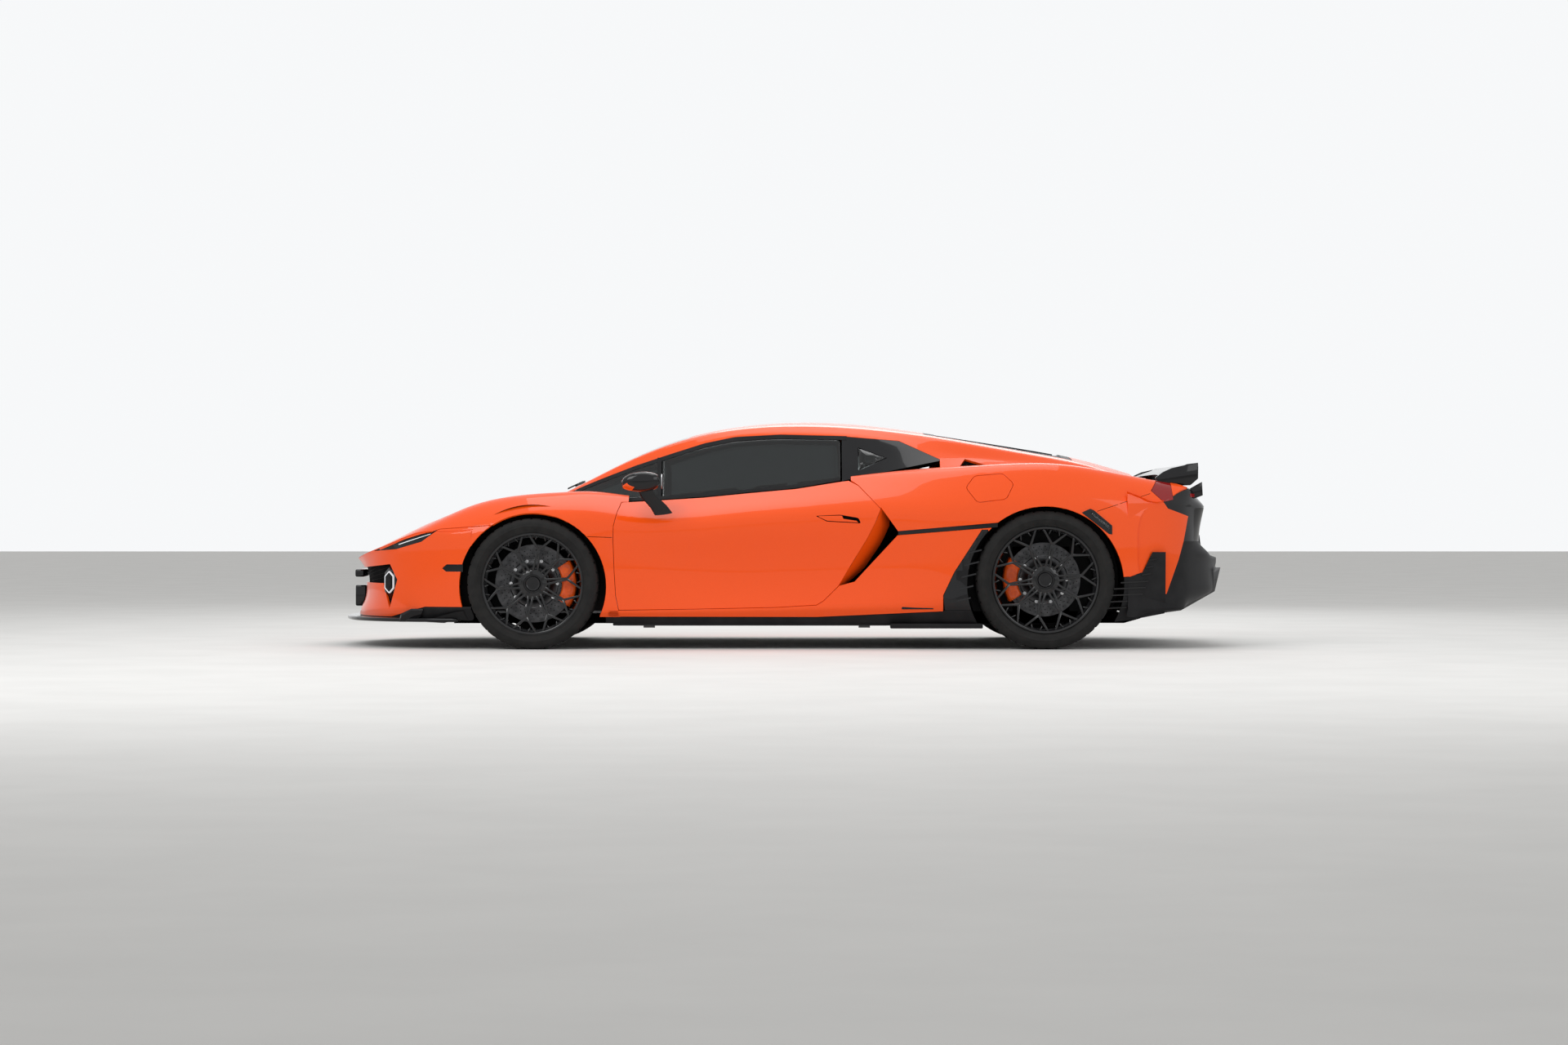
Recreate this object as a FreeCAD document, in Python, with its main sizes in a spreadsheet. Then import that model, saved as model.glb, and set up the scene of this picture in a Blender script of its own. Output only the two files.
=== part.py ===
# Mid-engine two-seat sports coupe, built as separate body panels, glass, running gear and cabin pieces.
# Millimetres. X runs from the nose (-) to the tail (+), left is -Y, Z is up and the tyres stand on Z 0.
import FreeCAD, Part
import math
import os

Vec = FreeCAD.Vector
doc = FreeCAD.newDocument("SportsCoupe")

# Driving sizes: each has one cell, and what depends on it is worked out from that cell.
SIZES = [
    ("overall_length", 4706, "nose splitter to diffuser tip"),
    ("front_overhang", 1059, "splitter tip to front axle"),
    ("wheelbase", 2658, "front axle to rear axle"),
    ("front_track", 1722, "between the front tyres' middles"),
    ("rear_track", 1670, "between the rear tyres' middles"),
    ("front_tyre_diameter", 680, ""),
    ("front_tyre_width", 255, ""),
    ("front_rim_diameter", 520, "over the rim flange"),
    ("rear_tyre_diameter", 720, ""),
    ("rear_tyre_width", 325, ""),
    ("rear_rim_diameter", 546, "over the rim flange"),
    ("rim_wall", 8, "rim barrel"),
    ("spoke_count", 10, ""),
    ("spoke_width", 13, "each rib of a spoke"),
    ("front_disc_diameter", 410, ""),
    ("rear_disc_diameter", 390, ""),
    ("disc_thickness", 34, ""),
    ("hub_diameter", 150, "hub face that the wheel bolts to"),
    ("bore_diameter", 60, "wheel bearing bore"),
    ("bearing_clearance", 0.1, "stub axle to wheel bore, on the radius"),
    ("kingpin_inset", 62, "steering axis inboard of the tyre's middle"),
    ("front_arch_radius", 382, "lip of the front wing"),
    ("rear_arch_radius", 402, "lip of the rear wing"),
    ("well_radius", 412, "liner round a wheel at full lock"),
    ("well_inner_y", 545, "inner wall of the front wheel wells"),
    ("skin", 26, "body panel, outer and inner skin together"),
    ("glass_thickness", 7, ""),
    ("shut_gap", 8, "round each panel that opens"),
    ("door_depth", 110, "door shell, outer skin to inner trim"),
    ("sill_height", 300, "top of the tub's side sills"),
    ("floor_bottom", 118, "underside of the tub"),
    ("floor_thickness", 28, ""),
    ("tub_half_width", 785, "outside of the tub's side sills"),
    ("roof_skin", 30, ""),
    ("engine_length", 620, ""),
    ("engine_width", 640, ""),
    ("engine_height", 480, ""),
    ("wing_span", 1560, ""),
    ("wing_plate", 21, "end plate of the rear wing"),
    ("exhaust_radius", 48, "outside of a tail pipe"),
    ("exhaust_wall", 6, ""),
    ("exhaust_length", 300, ""),
    ("exhaust_spacing", 220, "between the middles of the two tail pipes"),
    ("exhaust_height", 520, ""),
    ("cover_slots", 8, "rows of slots in the engine cover"),
    ("cover_pitch", 78, "from one row of slots to the next"),
    ("cover_slot", 22, "width of a slot"),
    ("rail_height", 90, "rear frame's long rails"),
    ("rail_width", 70, ""),
    ("rail_bottom", 300, ""),
]

sheet = doc.addObject("Spreadsheet::Sheet", "Sizes")
for row, (alias, value, note) in enumerate(SIZES, start=1):
    sheet.set("A%d" % row, str(value))
    sheet.setAlias("A%d" % row, alias)
    sheet.set("B%d" % row, note)
doc.recompute()
size = {alias: float(sheet.get(alias)) for alias, value, note in SIZES}

nose_x = -size["overall_length"] / 2
tail_x = size["overall_length"] / 2
front_x = nose_x + size["front_overhang"]
rear_x = front_x + size["wheelbase"]
door_x = front_x + 430
cabin_x = front_x + 1369
ANCHORS = {"nose": nose_x, "front": front_x, "door": door_x, "cabin": cabin_x, "rear": rear_x, "tail": tail_x}

# Lower body sections, half widths: anchor, dx, then y z of the rocker, sill, waist, crease, crest and deck edge,
# and the z of the middle of the deck.
HULL = [
    ("nose", -30, 700, 150, 760, 165, 790, 300, 790, 375, 760, 398, 480, 408, 412),
    ("nose", 253, 820, 140, 880, 185, 905, 330, 905, 440, 835, 512, 520, 545, 558),
    ("front", -556, 880, 135, 940, 200, 958, 370, 950, 530, 850, 636, 540, 664, 674),
    ("front", -306, 905, 132, 966, 205, 980, 400, 968, 620, 830, 748, 560, 748, 750),
    ("front", 0, 915, 130, 968, 205, 988, 430, 978, 690, 830, 804, 590, 794, 794),
    ("front", 294, 915, 130, 962, 200, 962, 430, 955, 690, 808, 812, 620, 820, 826),
    ("door", 164, 915, 130, 957, 200, 925, 420, 944, 648, 797, 780, 640, 800, 810),
    ("cabin", -275, 915, 130, 960, 208, 905, 400, 945, 672, 792, 816, 650, 825, 830),
    ("cabin", 225, 915, 130, 965, 220, 915, 420, 955, 708, 792, 878, 650, 890, 895),
    ("rear", -564, 930, 130, 980, 235, 975, 460, 985, 720, 850, 917, 640, 950, 955),
    ("rear", 0, 950, 130, 990, 240, 998, 490, 992, 760, 885, 955, 640, 955, 955),
    ("rear", 436, 930, 150, 965, 260, 975, 520, 960, 750, 850, 897, 600, 900, 900),
    ("tail", -253, 860, 200, 905, 300, 920, 540, 905, 720, 810, 850, 560, 850, 850),
    ("tail", 30, 800, 240, 840, 380, 850, 560, 840, 700, 780, 830, 540, 830, 830),
]

# Cabin and engine deck sections: anchor, dx, then y z of the belt, window top and roof edge, and z of the middle.
CANOPY = [
    ("front", 106, 640, 740, 600, 775, 540, 798, 812),
    ("front", 294, 735, 740, 645, 865, 590, 890, 908),
    ("door", 64, 775, 735, 655, 948, 600, 988, 1012),
    ("door", 314, 788, 740, 648, 1030, 590, 1084, 1110),
    ("cabin", -325, 790, 760, 632, 1105, 565, 1150, 1174),
    ("cabin", 0, 787, 795, 622, 1120, 545, 1170, 1201),
    ("cabin", 325, 782, 840, 620, 1108, 540, 1158, 1190),
    ("cabin", 625, 775, 880, 615, 1060, 528, 1125, 1154),
    ("rear", -414, 765, 890, 600, 1005, 512, 1086, 1116),
    ("rear", -64, 745, 895, 560, 972, 480, 1025, 1062),
    ("rear", 236, 700, 860, 520, 930, 440, 968, 1005),
    ("rear", 520, 620, 800, 480, 860, 410, 880, 925),
]

# Side view outlines, left side: anchor, dx, z.
DOOR_SEAM = [
    ("door", 26, 764), ("door", 5, 709), ("door", -12, 640), ("door", -14, 573), ("door", -8, 404),
    ("door", 0, 277), ("door", 16, 207), ("cabin", -110, 218), ("cabin", 103, 230), ("cabin", 139, 252),
    ("cabin", 217, 328), ("cabin", 281, 435), ("cabin", 365, 572), ("cabin", 407, 655), ("cabin", 436, 729),
    ("cabin", 321, 852), ("cabin", 272, 878),
]
BELT = [
    ("cabin", 232, 873), ("cabin", -3, 835), ("cabin", -248, 813), ("cabin", -493, 789), ("door", 204, 774),
    ("door", 26, 764),
]
WINDOW_TOP = [
    ("door", 26, 931), ("door", 90, 956), ("door", 271, 1016), ("door", 453, 1074), ("cabin", -324, 1108),
    ("cabin", -85, 1121), ("cabin", 268, 1112),
]
FRONT_SAIL = [("door", -240, 826), ("door", -92, 886), ("door", 17, 925), ("door", 17, 772)]
QUARTER_LIGHT = [("cabin", 282, 884), ("cabin", 282, 1108), ("cabin", 541, 1090), ("cabin", 756, 992)]
QUARTER_GLASS = [("cabin", 325, 1051), ("cabin", 473, 998), ("cabin", 325, 932)]
BUMPER_SIDE = [
    ("nose", -60, 60), ("front", 0, 60), ("front", 0, 400), ("front", -206, 644), ("front", -486, 624),
    ("nose", 233, 516), ("nose", 203, 600), ("nose", -60, 600),
]
HEADLAMP = [("nose", 205, 540), ("front", -480, 650), ("front", -590, 560), ("nose", 285, 490)]
INTAKE = [("cabin", 438, 732), ("cabin", 531, 602), ("cabin", 300, 352), ("cabin", 217, 330), ("cabin", 365, 572)]
SLOT = [("cabin", 525, 612), ("rear", -250, 656), ("rear", -250, 634), ("cabin", 525, 592)]
OUTLET = [("rear", -331, 620), ("rear", -473, 400), ("rear", -530, 281), ("rear", -521, 198), ("rear", -300, 198),
          ("rear", -300, 620)]
FUEL_FLAP = [
    ("rear", -412, 839), ("rear", -365, 901), ("rear", -217, 913), ("rear", -163, 859), ("rear", -204, 779),
    ("rear", -353, 761),
]
TAIL_SEAM = [("rear", 60, 60), ("rear", 60, 760), ("rear", 545, 838), ("tail", -310, 1000), ("tail", 60, 1000),
             ("tail", 60, 60)]
TAIL_END = [
    ("tail", -453, 1000), ("tail", -453, 885), ("tail", -293, 862), ("tail", -203, 830), ("tail", -134, 744),
    ("tail", -153, 640), ("tail", -163, 560), ("tail", -93, 500), ("tail", -13, 470), ("tail", 0, 440),
    ("tail", -63, 290), ("tail", -253, 200), ("tail", -503, 150), ("tail", -503, 60), ("tail", 90, 60),
    ("tail", 90, 1000),
]
DIFFUSER = [("tail", -600, 60), ("tail", -600, 215), ("tail", -400, 300), ("tail", -150, 445), ("tail", -90, 520),
            ("tail", 90, 520), ("tail", 90, 60)]
TAIL_LAMP = [("tail", -434, 824), ("tail", -395, 900), ("tail", -327, 900), ("tail", -319, 777), ("tail", -370, 764)]
# Plan outlines, left half: anchor, dx, half width.
NOSE_PLAN = [("nose", 53, 0), ("nose", 68, 250), ("nose", 113, 450), ("nose", 193, 620), ("nose", 303, 760),
             ("nose", 473, 880), ("nose", 683, 960), ("nose", 900, 1100)]
SPLITTER_PLAN = [("nose", 0, 0), ("nose", 14, 250), ("nose", 60, 450), ("nose", 140, 620), ("nose", 260, 765),
                 ("nose", 430, 875), ("nose", 640, 925), ("nose", 640, 0)]
TAIL_PLAN = [("tail", -653, 1100), ("tail", -513, 968), ("tail", -353, 905), ("tail", -203, 790),
             ("tail", -83, 560), ("tail", -23, 300), ("tail", 0, 0)]
BONNET = [("nose", 255, 0), ("nose", 262, 300), ("nose", 285, 520), ("nose", 500, 575), ("nose", 900, 600),
          ("front", 40, 600), ("front", 40, 0)]
SCREEN = [("front", 144, 0), ("front", 184, 400), ("front", 244, 545), ("door", 64, 566), ("door", 364, 548),
          ("door", 384, 300), ("door", 394, 0)]
COVER = [("cabin", 680, 0), ("cabin", 680, 430), ("rear", 0, 400), ("rear", 190, 360), ("rear", 190, 0)]


def at(anchor, dx):
    return ANCHORS[anchor] + dx


def flat_face(points):
    return Part.Face(Part.makePolygon(points + [points[0]]))


def side_prism(outline, y_from=-1150.0, y_to=0.0, grow=0.0):
    """Solid from a side view outline, between two widths; grow moves its outline outwards."""
    face = flat_face([Vec(at(anchor, dx), 0, z) for anchor, dx, z in outline])
    if grow:
        face = face.makeOffset2D(grow, 2)
    return face.translated(Vec(0, y_from, 0)).extrude(Vec(0, y_to - y_from, 0))


def plan_prism(outline, z_from, z_to, grow=0.0):
    """Solid from the left half of a plan outline, mirrored about the middle."""
    left = [Vec(at(anchor, dx), -y, 0) for anchor, dx, y in outline]
    right = [Vec(point.x, -point.y, 0) for point in reversed(left) if point.y < 0]
    face = flat_face(left + right)
    if grow:
        face = face.makeOffset2D(grow, 2)
    return face.translated(Vec(0, 0, z_from)).extrude(Vec(0, 0, z_to - z_from))


def across_prism(points, x_from, x_to):
    """Solid from a cross section outline of (y, z) points."""
    return flat_face([Vec(x_from, y, z) for y, z in points]).extrude(Vec(x_to - x_from, 0, 0))


def block(x_from, x_to, y_from, y_to, z_from, z_to):
    return Part.makeBox(x_to - x_from, y_to - y_from, z_to - z_from, Vec(x_from, y_from, z_from))


def round_y(radius, y_from, y_to, x, z):
    return Part.makeCylinder(radius, y_to - y_from, Vec(x, y_from, z), Vec(0, 1, 0))


def round_x(radius, x_from, x_to, y, z):
    return Part.makeCylinder(radius, x_to - x_from, Vec(x_from, y, z), Vec(1, 0, 0))


def mirrored(shape):
    return shape.mirror(Vec(0, 0, 0), Vec(0, 1, 0))


def both(shape):
    return Part.makeCompound([shape, mirrored(shape)])


def joined(shape):
    return shape.fuse(mirrored(shape))


def hinge_knuckle(centre, direction, radius, length):
    """Sleeve of the moving side of a hinge."""
    return Part.makeCylinder(radius, length, centre - direction * (length / 2), direction)


def hinge_bore(centre, direction, pin, length):
    return Part.makeCylinder(pin + size["bearing_clearance"], length, centre - direction * (length / 2), direction)


def surface_y(solid, x, z):
    """How far left the body's side lies at this x and z."""
    ray = Part.makeLine(Vec(x, -1300, z), Vec(x, 0, z))
    return ray.common(solid).BoundBox.YMin


def section(x, half, middle_z, floor):
    """Closed section at x from half-width points, bottom to top, mirrored about the middle."""
    left = [Vec(x, -y, z) for y, z in half]
    right = [Vec(x, y, z) for y, z in reversed(half)]
    points = left + [Vec(x, 0, middle_z)] + right
    if floor is not None:
        points = [Vec(x, -half[0][0], floor)] + points + [Vec(x, half[0][0], floor)]
    return Part.makePolygon(points + [points[0]])


def loft(rows, inset, floor, ruled):
    """Body shape through a table of sections, drawn in by inset for the hollow inside it."""
    wires = []
    for row in rows:
        values = row[2:-1]
        pairs = list(zip(values[0::2], values[1::2]))
        half = []
        for number, (y, z) in enumerate(pairs):
            lift = inset if number == 0 and floor is None else 0
            drop = inset if number >= len(pairs) - 2 else 0
            half.append((y - inset, z + lift - drop))
        wires.append(section(at(row[0], row[1]), half, row[-1] - inset, floor))
    return Part.makeLoft(wires, True, ruled, False, 5)


pieces = {}


def keep(label, shape):
    """Adds a finished panel to the document under its own name."""
    solids = [solid for solid in shape.Solids if solid.Volume > 3000]
    thing = doc.addObject("Part::Feature", label)
    thing.Label = label
    thing.Shape = solids[0] if len(solids) == 1 else Part.makeCompound(solids)
    pieces[label] = thing
    return thing


def place(thing, x, y, z, axis=None, angle=0.0):
    rotation = FreeCAD.Rotation(axis, angle) if axis else FreeCAD.Rotation()
    thing.Placement = FreeCAD.Placement(Vec(x, y, z), rotation)
    return thing


def primitive(kind, label, **sizes):
    """Part primitive whose properties are bound to the sheet's cells or hold plain numbers."""
    thing = doc.addObject(kind, label)
    for name, value in sizes.items():
        if isinstance(value, str):
            thing.setExpression(name, value)
        else:
            setattr(thing, name, value)
    return thing


def cut_of(label, base, tool):
    thing = doc.addObject("Part::Cut", label)
    thing.Base, thing.Tool = base, tool
    return thing


def mirror_of(label, source):
    thing = doc.addObject("Part::Mirroring", label)
    thing.Source = source
    thing.Base = Vec(0, 0, 0)
    thing.Normal = Vec(0, 1, 0)
    thing.Label = label
    return thing


def finish(label, thing):
    thing.Label = label
    pieces[label] = thing
    return thing


def outline_sketch(body_object, label, role, outlines, offset=None):
    """Sketch on one of the body's own planes; an outline is a list of (u, v) corners."""
    sketch = body_object.newObject("Sketcher::SketchObject", label)
    plane = [f for f in body_object.Origin.OriginFeatures if f.Role == role][0]
    sketch.AttachmentSupport = [(plane, "")]
    sketch.MapMode = "FlatFace"
    if offset:
        sketch.AttachmentOffset = offset
    for corners in outlines:
        for (u1, v1), (u2, v2) in zip(corners, corners[1:] + corners[:1]):
            sketch.addGeometry(Part.LineSegment(Vec(u1, v1, 0), Vec(u2, v2, 0)), False)
    return sketch


def axis_of(body_object, role):
    return ([f for f in body_object.Origin.OriginFeatures if f.Role == role][0], [""])


def revolved(body_object, label, corners):
    """Revolution about the wheel's axis of corners given as (radius, distance along the axis)."""
    sketch = outline_sketch(body_object, label + "Profile", "XY_Plane", [corners])
    turn = body_object.newObject("PartDesign::Revolution", label)
    turn.Profile = sketch
    turn.ReferenceAxis = axis_of(body_object, "Y_Axis")
    turn.Angle = 360
    return turn


# Wheel sizes in the wheel's own frame, its outer side towards -Y
BEAD_DEPTH = 12
FLANGE = 6
RIM_INSET = 14
HUB_RADIUS = 46
HUB_INNER = 30
DISC_FROM = -15
SPOKE_DEPTH = 24
SPOKE_LEAN = 3.2
SPOKE_FOOT = 30
FOOT_RADIUS = 62
FORK_SHARE = 0.707
SPREAD_SHARE = 0.249


def on_axle(thing, x, y):
    """Stands a wheel or tyre on the ground at its axle, from the sheet's own cells."""
    end = "front" if x < 0 else "rear"
    along = "-Sizes.overall_length / 2 + Sizes.front_overhang"
    place(thing, x, y, size[end + "_tyre_diameter"] / 2)
    thing.setExpression("Placement.Base.x", along + (" + Sizes.wheelbase" if end == "rear" else ""))
    thing.setExpression("Placement.Base.y", "-Sizes.%s_track / 2" % end)
    thing.setExpression("Placement.Base.z", "Sizes.%s_tyre_diameter / 2" % end)
    return thing


def make_tyre(label, x, y, radius, width, rim_radius):
    bead = rim_radius - BEAD_DEPTH
    half_width = width / 2
    seat = half_width - RIM_INSET - FLANGE
    tread = half_width - 16
    wall = (radius + rim_radius) / 2 - 4
    corners = [
        (bead, -seat), (rim_radius + 4, -seat), (wall, -half_width), (radius - 12, -half_width + 5),
        (radius, -tread), (radius, tread), (radius - 12, half_width - 5), (wall, half_width),
        (rim_radius + 4, seat), (bead, seat),
    ]
    tyre = doc.addObject("PartDesign::Body", label)
    revolved(tyre, label + "Ring", corners)
    return finish(label, on_axle(tyre, x, y))


def make_wheel(label, x, y, radius, width, rim_radius, disc_radius):
    """Left wheel: barrel, flanges, forked spokes, hub and brake disc in one piece. Its outer side is -Y."""
    bead = rim_radius - BEAD_DEPTH
    inner = bead - size["rim_wall"]
    edge = width / 2 - RIM_INSET
    seat = edge - FLANGE
    hub_face = edge - 38
    hub_back = hub_face - 24
    bore = size["bore_diameter"] / 2
    hub_edge = size["hub_diameter"] / 2
    disc_to = DISC_FROM + size["disc_thickness"]
    wheel = doc.addObject("PartDesign::Body", label)
    revolved(wheel, label + "Barrel", [
        (inner, -edge), (rim_radius, -edge), (rim_radius, -seat), (bead, -seat), (bead, seat),
        (rim_radius, seat), (rim_radius, edge), (inner, edge),
    ])
    rib = size["spoke_width"]
    fork = FORK_SHARE * rim_radius
    spread = SPREAD_SHARE * rim_radius
    reach = inner + 4
    right = [
        (0, fork + 16), (spread - rib * 0.75, reach * 0.985), (spread + rib * 0.7, reach * 0.955),
        (rib * 0.55, fork - 14), (SPOKE_FOOT, FOOT_RADIUS),
    ]
    left = [(-u, v) for u, v in reversed(right) if u > 0]
    outer = left + right
    window = [(rib - SPOKE_FOOT, FOOT_RADIUS + 8), (0, fork - 42), (SPOKE_FOOT - rib, FOOT_RADIUS + 8)]
    tilt = FreeCAD.Rotation(Vec(1, 0, 0), SPOKE_LEAN)
    sketch = outline_sketch(wheel, label + "SpokeOutline", "XZ_Plane", [outer, window],
                            FreeCAD.Placement(Vec(0, 0, hub_back - 4), tilt))
    spoke = wheel.newObject("PartDesign::Pad", label + "Spoke")
    spoke.Profile = sketch
    spoke.Length = SPOKE_DEPTH
    hub = revolved(wheel, label + "Hub", [
        (bore, -hub_face), (hub_edge, -hub_face), (hub_edge, -hub_back), (hub_edge - 4, DISC_FROM),
        (disc_radius, DISC_FROM), (disc_radius, disc_to), (HUB_RADIUS + 12, disc_to), (HUB_RADIUS, HUB_INNER),
        (bore, HUB_INNER),
    ])
    doc.recompute()
    ring = wheel.newObject("PartDesign::PolarPattern", label + "Spokes")
    ring.Originals = [spoke]
    ring.Axis = axis_of(wheel, "Y_Axis")
    ring.Angle = 360
    ring.setExpression("Occurrences", "Sizes.spoke_count")
    wheel.Tip = ring
    return finish(label, on_axle(wheel, x, y))


# Body shape and the hollow inside it
hull = loft(HULL, 0, None, False)
canopy = loft(CANOPY, 0, 400, False)
plan = NOSE_PLAN + TAIL_PLAN
tail_end = joined(side_prism(TAIL_END))
body = hull.fuse(canopy).common(plan_prism(plan, 0, 1400)).cut(tail_end)
skin = size["skin"]
hollow_hull = loft(HULL, skin, None, True).common(plan_prism(plan, 0, 1400, -skin))
hollow_hull = hollow_hull.cut(block(at("tail", -240), at("tail", 60), -1100, 1100, 0, 1400))
hollow = hollow_hull.fuse(loft(CANOPY, size["roof_skin"], 500, True))
shell = body.cut(hollow)

front_z = size["front_tyre_diameter"] / 2
rear_z = size["rear_tyre_diameter"] / 2
well_y = size["well_inner_y"]
lip_y = 900
front_well = round_y(size["front_arch_radius"], -1150, -lip_y, front_x, front_z)
front_well = front_well.fuse(round_y(size["well_radius"], -lip_y, -well_y, front_x, front_z))
rear_well_y = size["rear_track"] / 2 - size["rear_tyre_width"] / 2 - 40
rear_well = round_y(size["rear_arch_radius"], -1150, -rear_well_y, rear_x, rear_z)
half = block(nose_x - 100, tail_x + 100, -1200, 0, 0, 1400)
left_shell = shell.common(half).cut(front_well).cut(rear_well)

gap = size["shut_gap"]
door_void = side_prism(DOOR_SEAM + BELT[:-1], grow=gap)
door_relief = side_prism(DOOR_SEAM + BELT[:-1], grow=gap + 22).common(body.translated(Vec(0, 4, 0)))
bonnet_void = plan_prism(BONNET, 300, 1000, gap)
cover_void = plan_prism(COVER, 700, 1400, gap)
cover_void = cover_void.fuse(block(at("cabin", 632), at("cabin", 690), -438, 438, 700, 1400))
glass = size["glass_thickness"]
side_window = BELT + WINDOW_TOP

# Bonnet, engine cover and windscreen
lid_pin = 6
lid_knuckle = 11
hinge_half = 18
bonnet_hinge = Vec(at("front", 59), -450, 765)
across = Vec(0, 1, 0)
bonnet = shell.common(plan_prism(BONNET, 300, 1000)).cut(canopy)
arm_half = hinge_half - 0.3
arm = block(at("front", -16), bonnet_hinge.x, bonnet_hinge.y - arm_half, bonnet_hinge.y + arm_half, 760, 775)
arm = arm.fuse(hinge_knuckle(bonnet_hinge, across, lid_knuckle, 2 * arm_half))
arm = arm.cut(hinge_bore(bonnet_hinge, across, lid_pin, 4 * hinge_half))
keep("bonnet", bonnet.fuse([arm, mirrored(arm)]))
cover_hinge = Vec(at("cabin", 660), -300, 1108)
arm = block(cover_hinge.x, at("cabin", 730), cover_hinge.y - arm_half, cover_hinge.y + arm_half, 1100, 1116)
arm = arm.fuse(hinge_knuckle(cover_hinge, across, lid_knuckle, 2 * arm_half))
cover_arm = arm.cut(hinge_bore(cover_hinge, across, lid_pin, 4 * hinge_half))


def hinge_ears(centre, low, high, x_from, x_to):
    """Two ears and the pin between them, for a lid's hinge across the car."""
    ears = [block(x_from, x_to, centre.y + side - 4, centre.y + side + 4, low, high) for side in (-22, 22)]
    pin = Part.makeCylinder(lid_pin, 52, centre - across * 26, across)
    return ears[0].fuse([ears[1], pin])


louvres = shell.common(plan_prism(COVER, 700, 1400))
slot_ends = ((-330, -140), (-116, 116), (140, 330))
slots = []
for number in range(int(size["cover_slots"])):
    slot_x = at("cabin", 791) + number * size["cover_pitch"]
    slots += [block(slot_x, slot_x + size["cover_slot"], low, high, 700, 1400) for low, high in slot_ends]
keep("engine_cover", louvres.fuse([cover_arm, mirrored(cover_arm)]).cut(slots))
screen_prism = plan_prism(SCREEN, 700, 1300)
keep("windscreen", canopy.common(screen_prism).cut(canopy.translated(Vec(glass * 0.5, 0, -glass))).cut(hull))

# Side glass and the black panel behind it
pane = canopy.cut(canopy.translated(Vec(0, glass, -glass * 0.5))).common(half)
door_glass = pane.common(side_prism(side_window, -1100, -450))
sail = pane.common(side_prism(FRONT_SAIL, -1100, -450)).cut(hull)
quarter_hole = side_prism(QUARTER_GLASS, -1100, -400)
quarter_prism = side_prism(QUARTER_LIGHT, -1100, -400)
quarter_panel = left_shell.common(quarter_prism).cut(quarter_hole)
keep("side_windows", both(Part.makeCompound([sail, pane.common(quarter_hole)])))
keep("quarter_panels", both(quarter_panel))

# Doors: an outer skin to the seam and a shallower box inside it
inner_y = size["door_depth"] - 960
door_room = across_prism([(-1150, 150), (-1150, 1000), (-738, 1000), (-738, 800), (inner_y, 590), (inner_y, 150)],
                         at("door", -100), at("cabin", 600))
door_prism = side_prism(DOOR_SEAM + BELT[:-1])
door_step = door_prism.cut(side_prism(DOOR_SEAM + BELT[:-1], grow=-22))
door = body.common(half).common(door_prism).common(door_room).cut(hollow_hull.common(door_step))
hinge_x = at("door", 99)
hinge_y = -905
door_pin = 7
hinge_heights = (300, 560)
for z in hinge_heights:
    slot = block(at("door", -60), hinge_x + 22, hinge_y - 21, hinge_y + 70, z - 24, z + 24)
    pin = Part.makeCylinder(door_pin, 56, Vec(hinge_x, hinge_y, z - 28))
    door = door.cut(slot).fuse(pin)
keep("door_left", door)
keep("door_right", mirrored(door))
keep("door_glass_left", door_glass)
keep("door_glass_right", mirrored(door_glass))

# Fuel flap with its knuckle in a notch at its front edge
flap_z = 839
flap_pin = 2.5
flap_knuckle = 5
flap_x = at("rear", -420)
flap_low = Vec(flap_x, surface_y(body, flap_x, flap_z - 30) + flap_knuckle, flap_z - 30)
flap_high = Vec(flap_x, surface_y(body, flap_x, flap_z + 30) + flap_knuckle, flap_z + 30)
flap_way = (flap_high - flap_low).normalize()
flap_hinge = (flap_low + flap_high) * 0.5


def flap_bar(x_from, x_to, length, depth, grow):
    """Box along the flap's hinge, from its surface inwards."""
    bar = Part.makeBox(x_to - x_from, depth, length, Vec(x_from - flap_x, -grow, -length / 2))
    tilt = FreeCAD.Rotation(Vec(0, 0, 1), flap_way)
    bar.Placement = FreeCAD.Placement(flap_hinge, tilt)
    return bar


flap_room = flap_bar(flap_x - 9, flap_x + 40, 46, 60, 40)
flap_arm = flap_bar(flap_x, flap_x + 40, 40, 5, 2)
knuckle = hinge_knuckle(flap_hinge, flap_way, flap_knuckle, 40)
flap = shell.common(side_prism(FUEL_FLAP, -1150, -780)).cut(body.translated(Vec(0, 9, 0)))
flap = flap.fuse([flap_arm, knuckle]).cut(hinge_bore(flap_hinge, flap_way, flap_pin, 80))
keep("fuel_flap", flap)
flap_right = shell.common(side_prism(FUEL_FLAP, -1150, -780, 4))
flap_rod = Part.makeCylinder(flap_pin, 56, flap_hinge - flap_way * 28, flap_way)

# Front panels and lamps
lamp_prism = side_prism(HEADLAMP, -1150, -590)
keep("headlamps", both(left_shell.common(lamp_prism).cut(bonnet_void)))
bumper_prism = side_prism(BUMPER_SIDE, -1150, 0)
splitter_top = 168
under = block(nose_x - 100, front_x, -1150, 0, 0, splitter_top)
bumper = left_shell.common(bumper_prism).cut(bonnet_void).cut(lamp_prism).cut(under)
mouth = across_prism([(-430, 215), (-800, 235), (-850, 400), (-520, 385)], nose_x, at("nose", 420))
keep("front_bumper", joined(bumper.cut(mouth)))
splitter = plan_prism(SPLITTER_PLAN, 136, splitter_top)
keep("front_splitter", splitter.cut(joined(front_well)))
sill_top = 205
wing = left_shell.common(block(nose_x, at("door", 60), -1150, 0, sill_top, 1000))
wing = wing.cut(bumper_prism).cut(lamp_prism).cut(bonnet_void).cut(door_void).cut(canopy)
wing = wing.cut(block(nose_x, at("door", 60), -well_y, 0, 0, 700))
wing = wing.cut(door_relief).cut(block(at("front", 40), at("front", 154), -612, 0, 700, 1000))
keep("front_wings", joined(wing))

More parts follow.
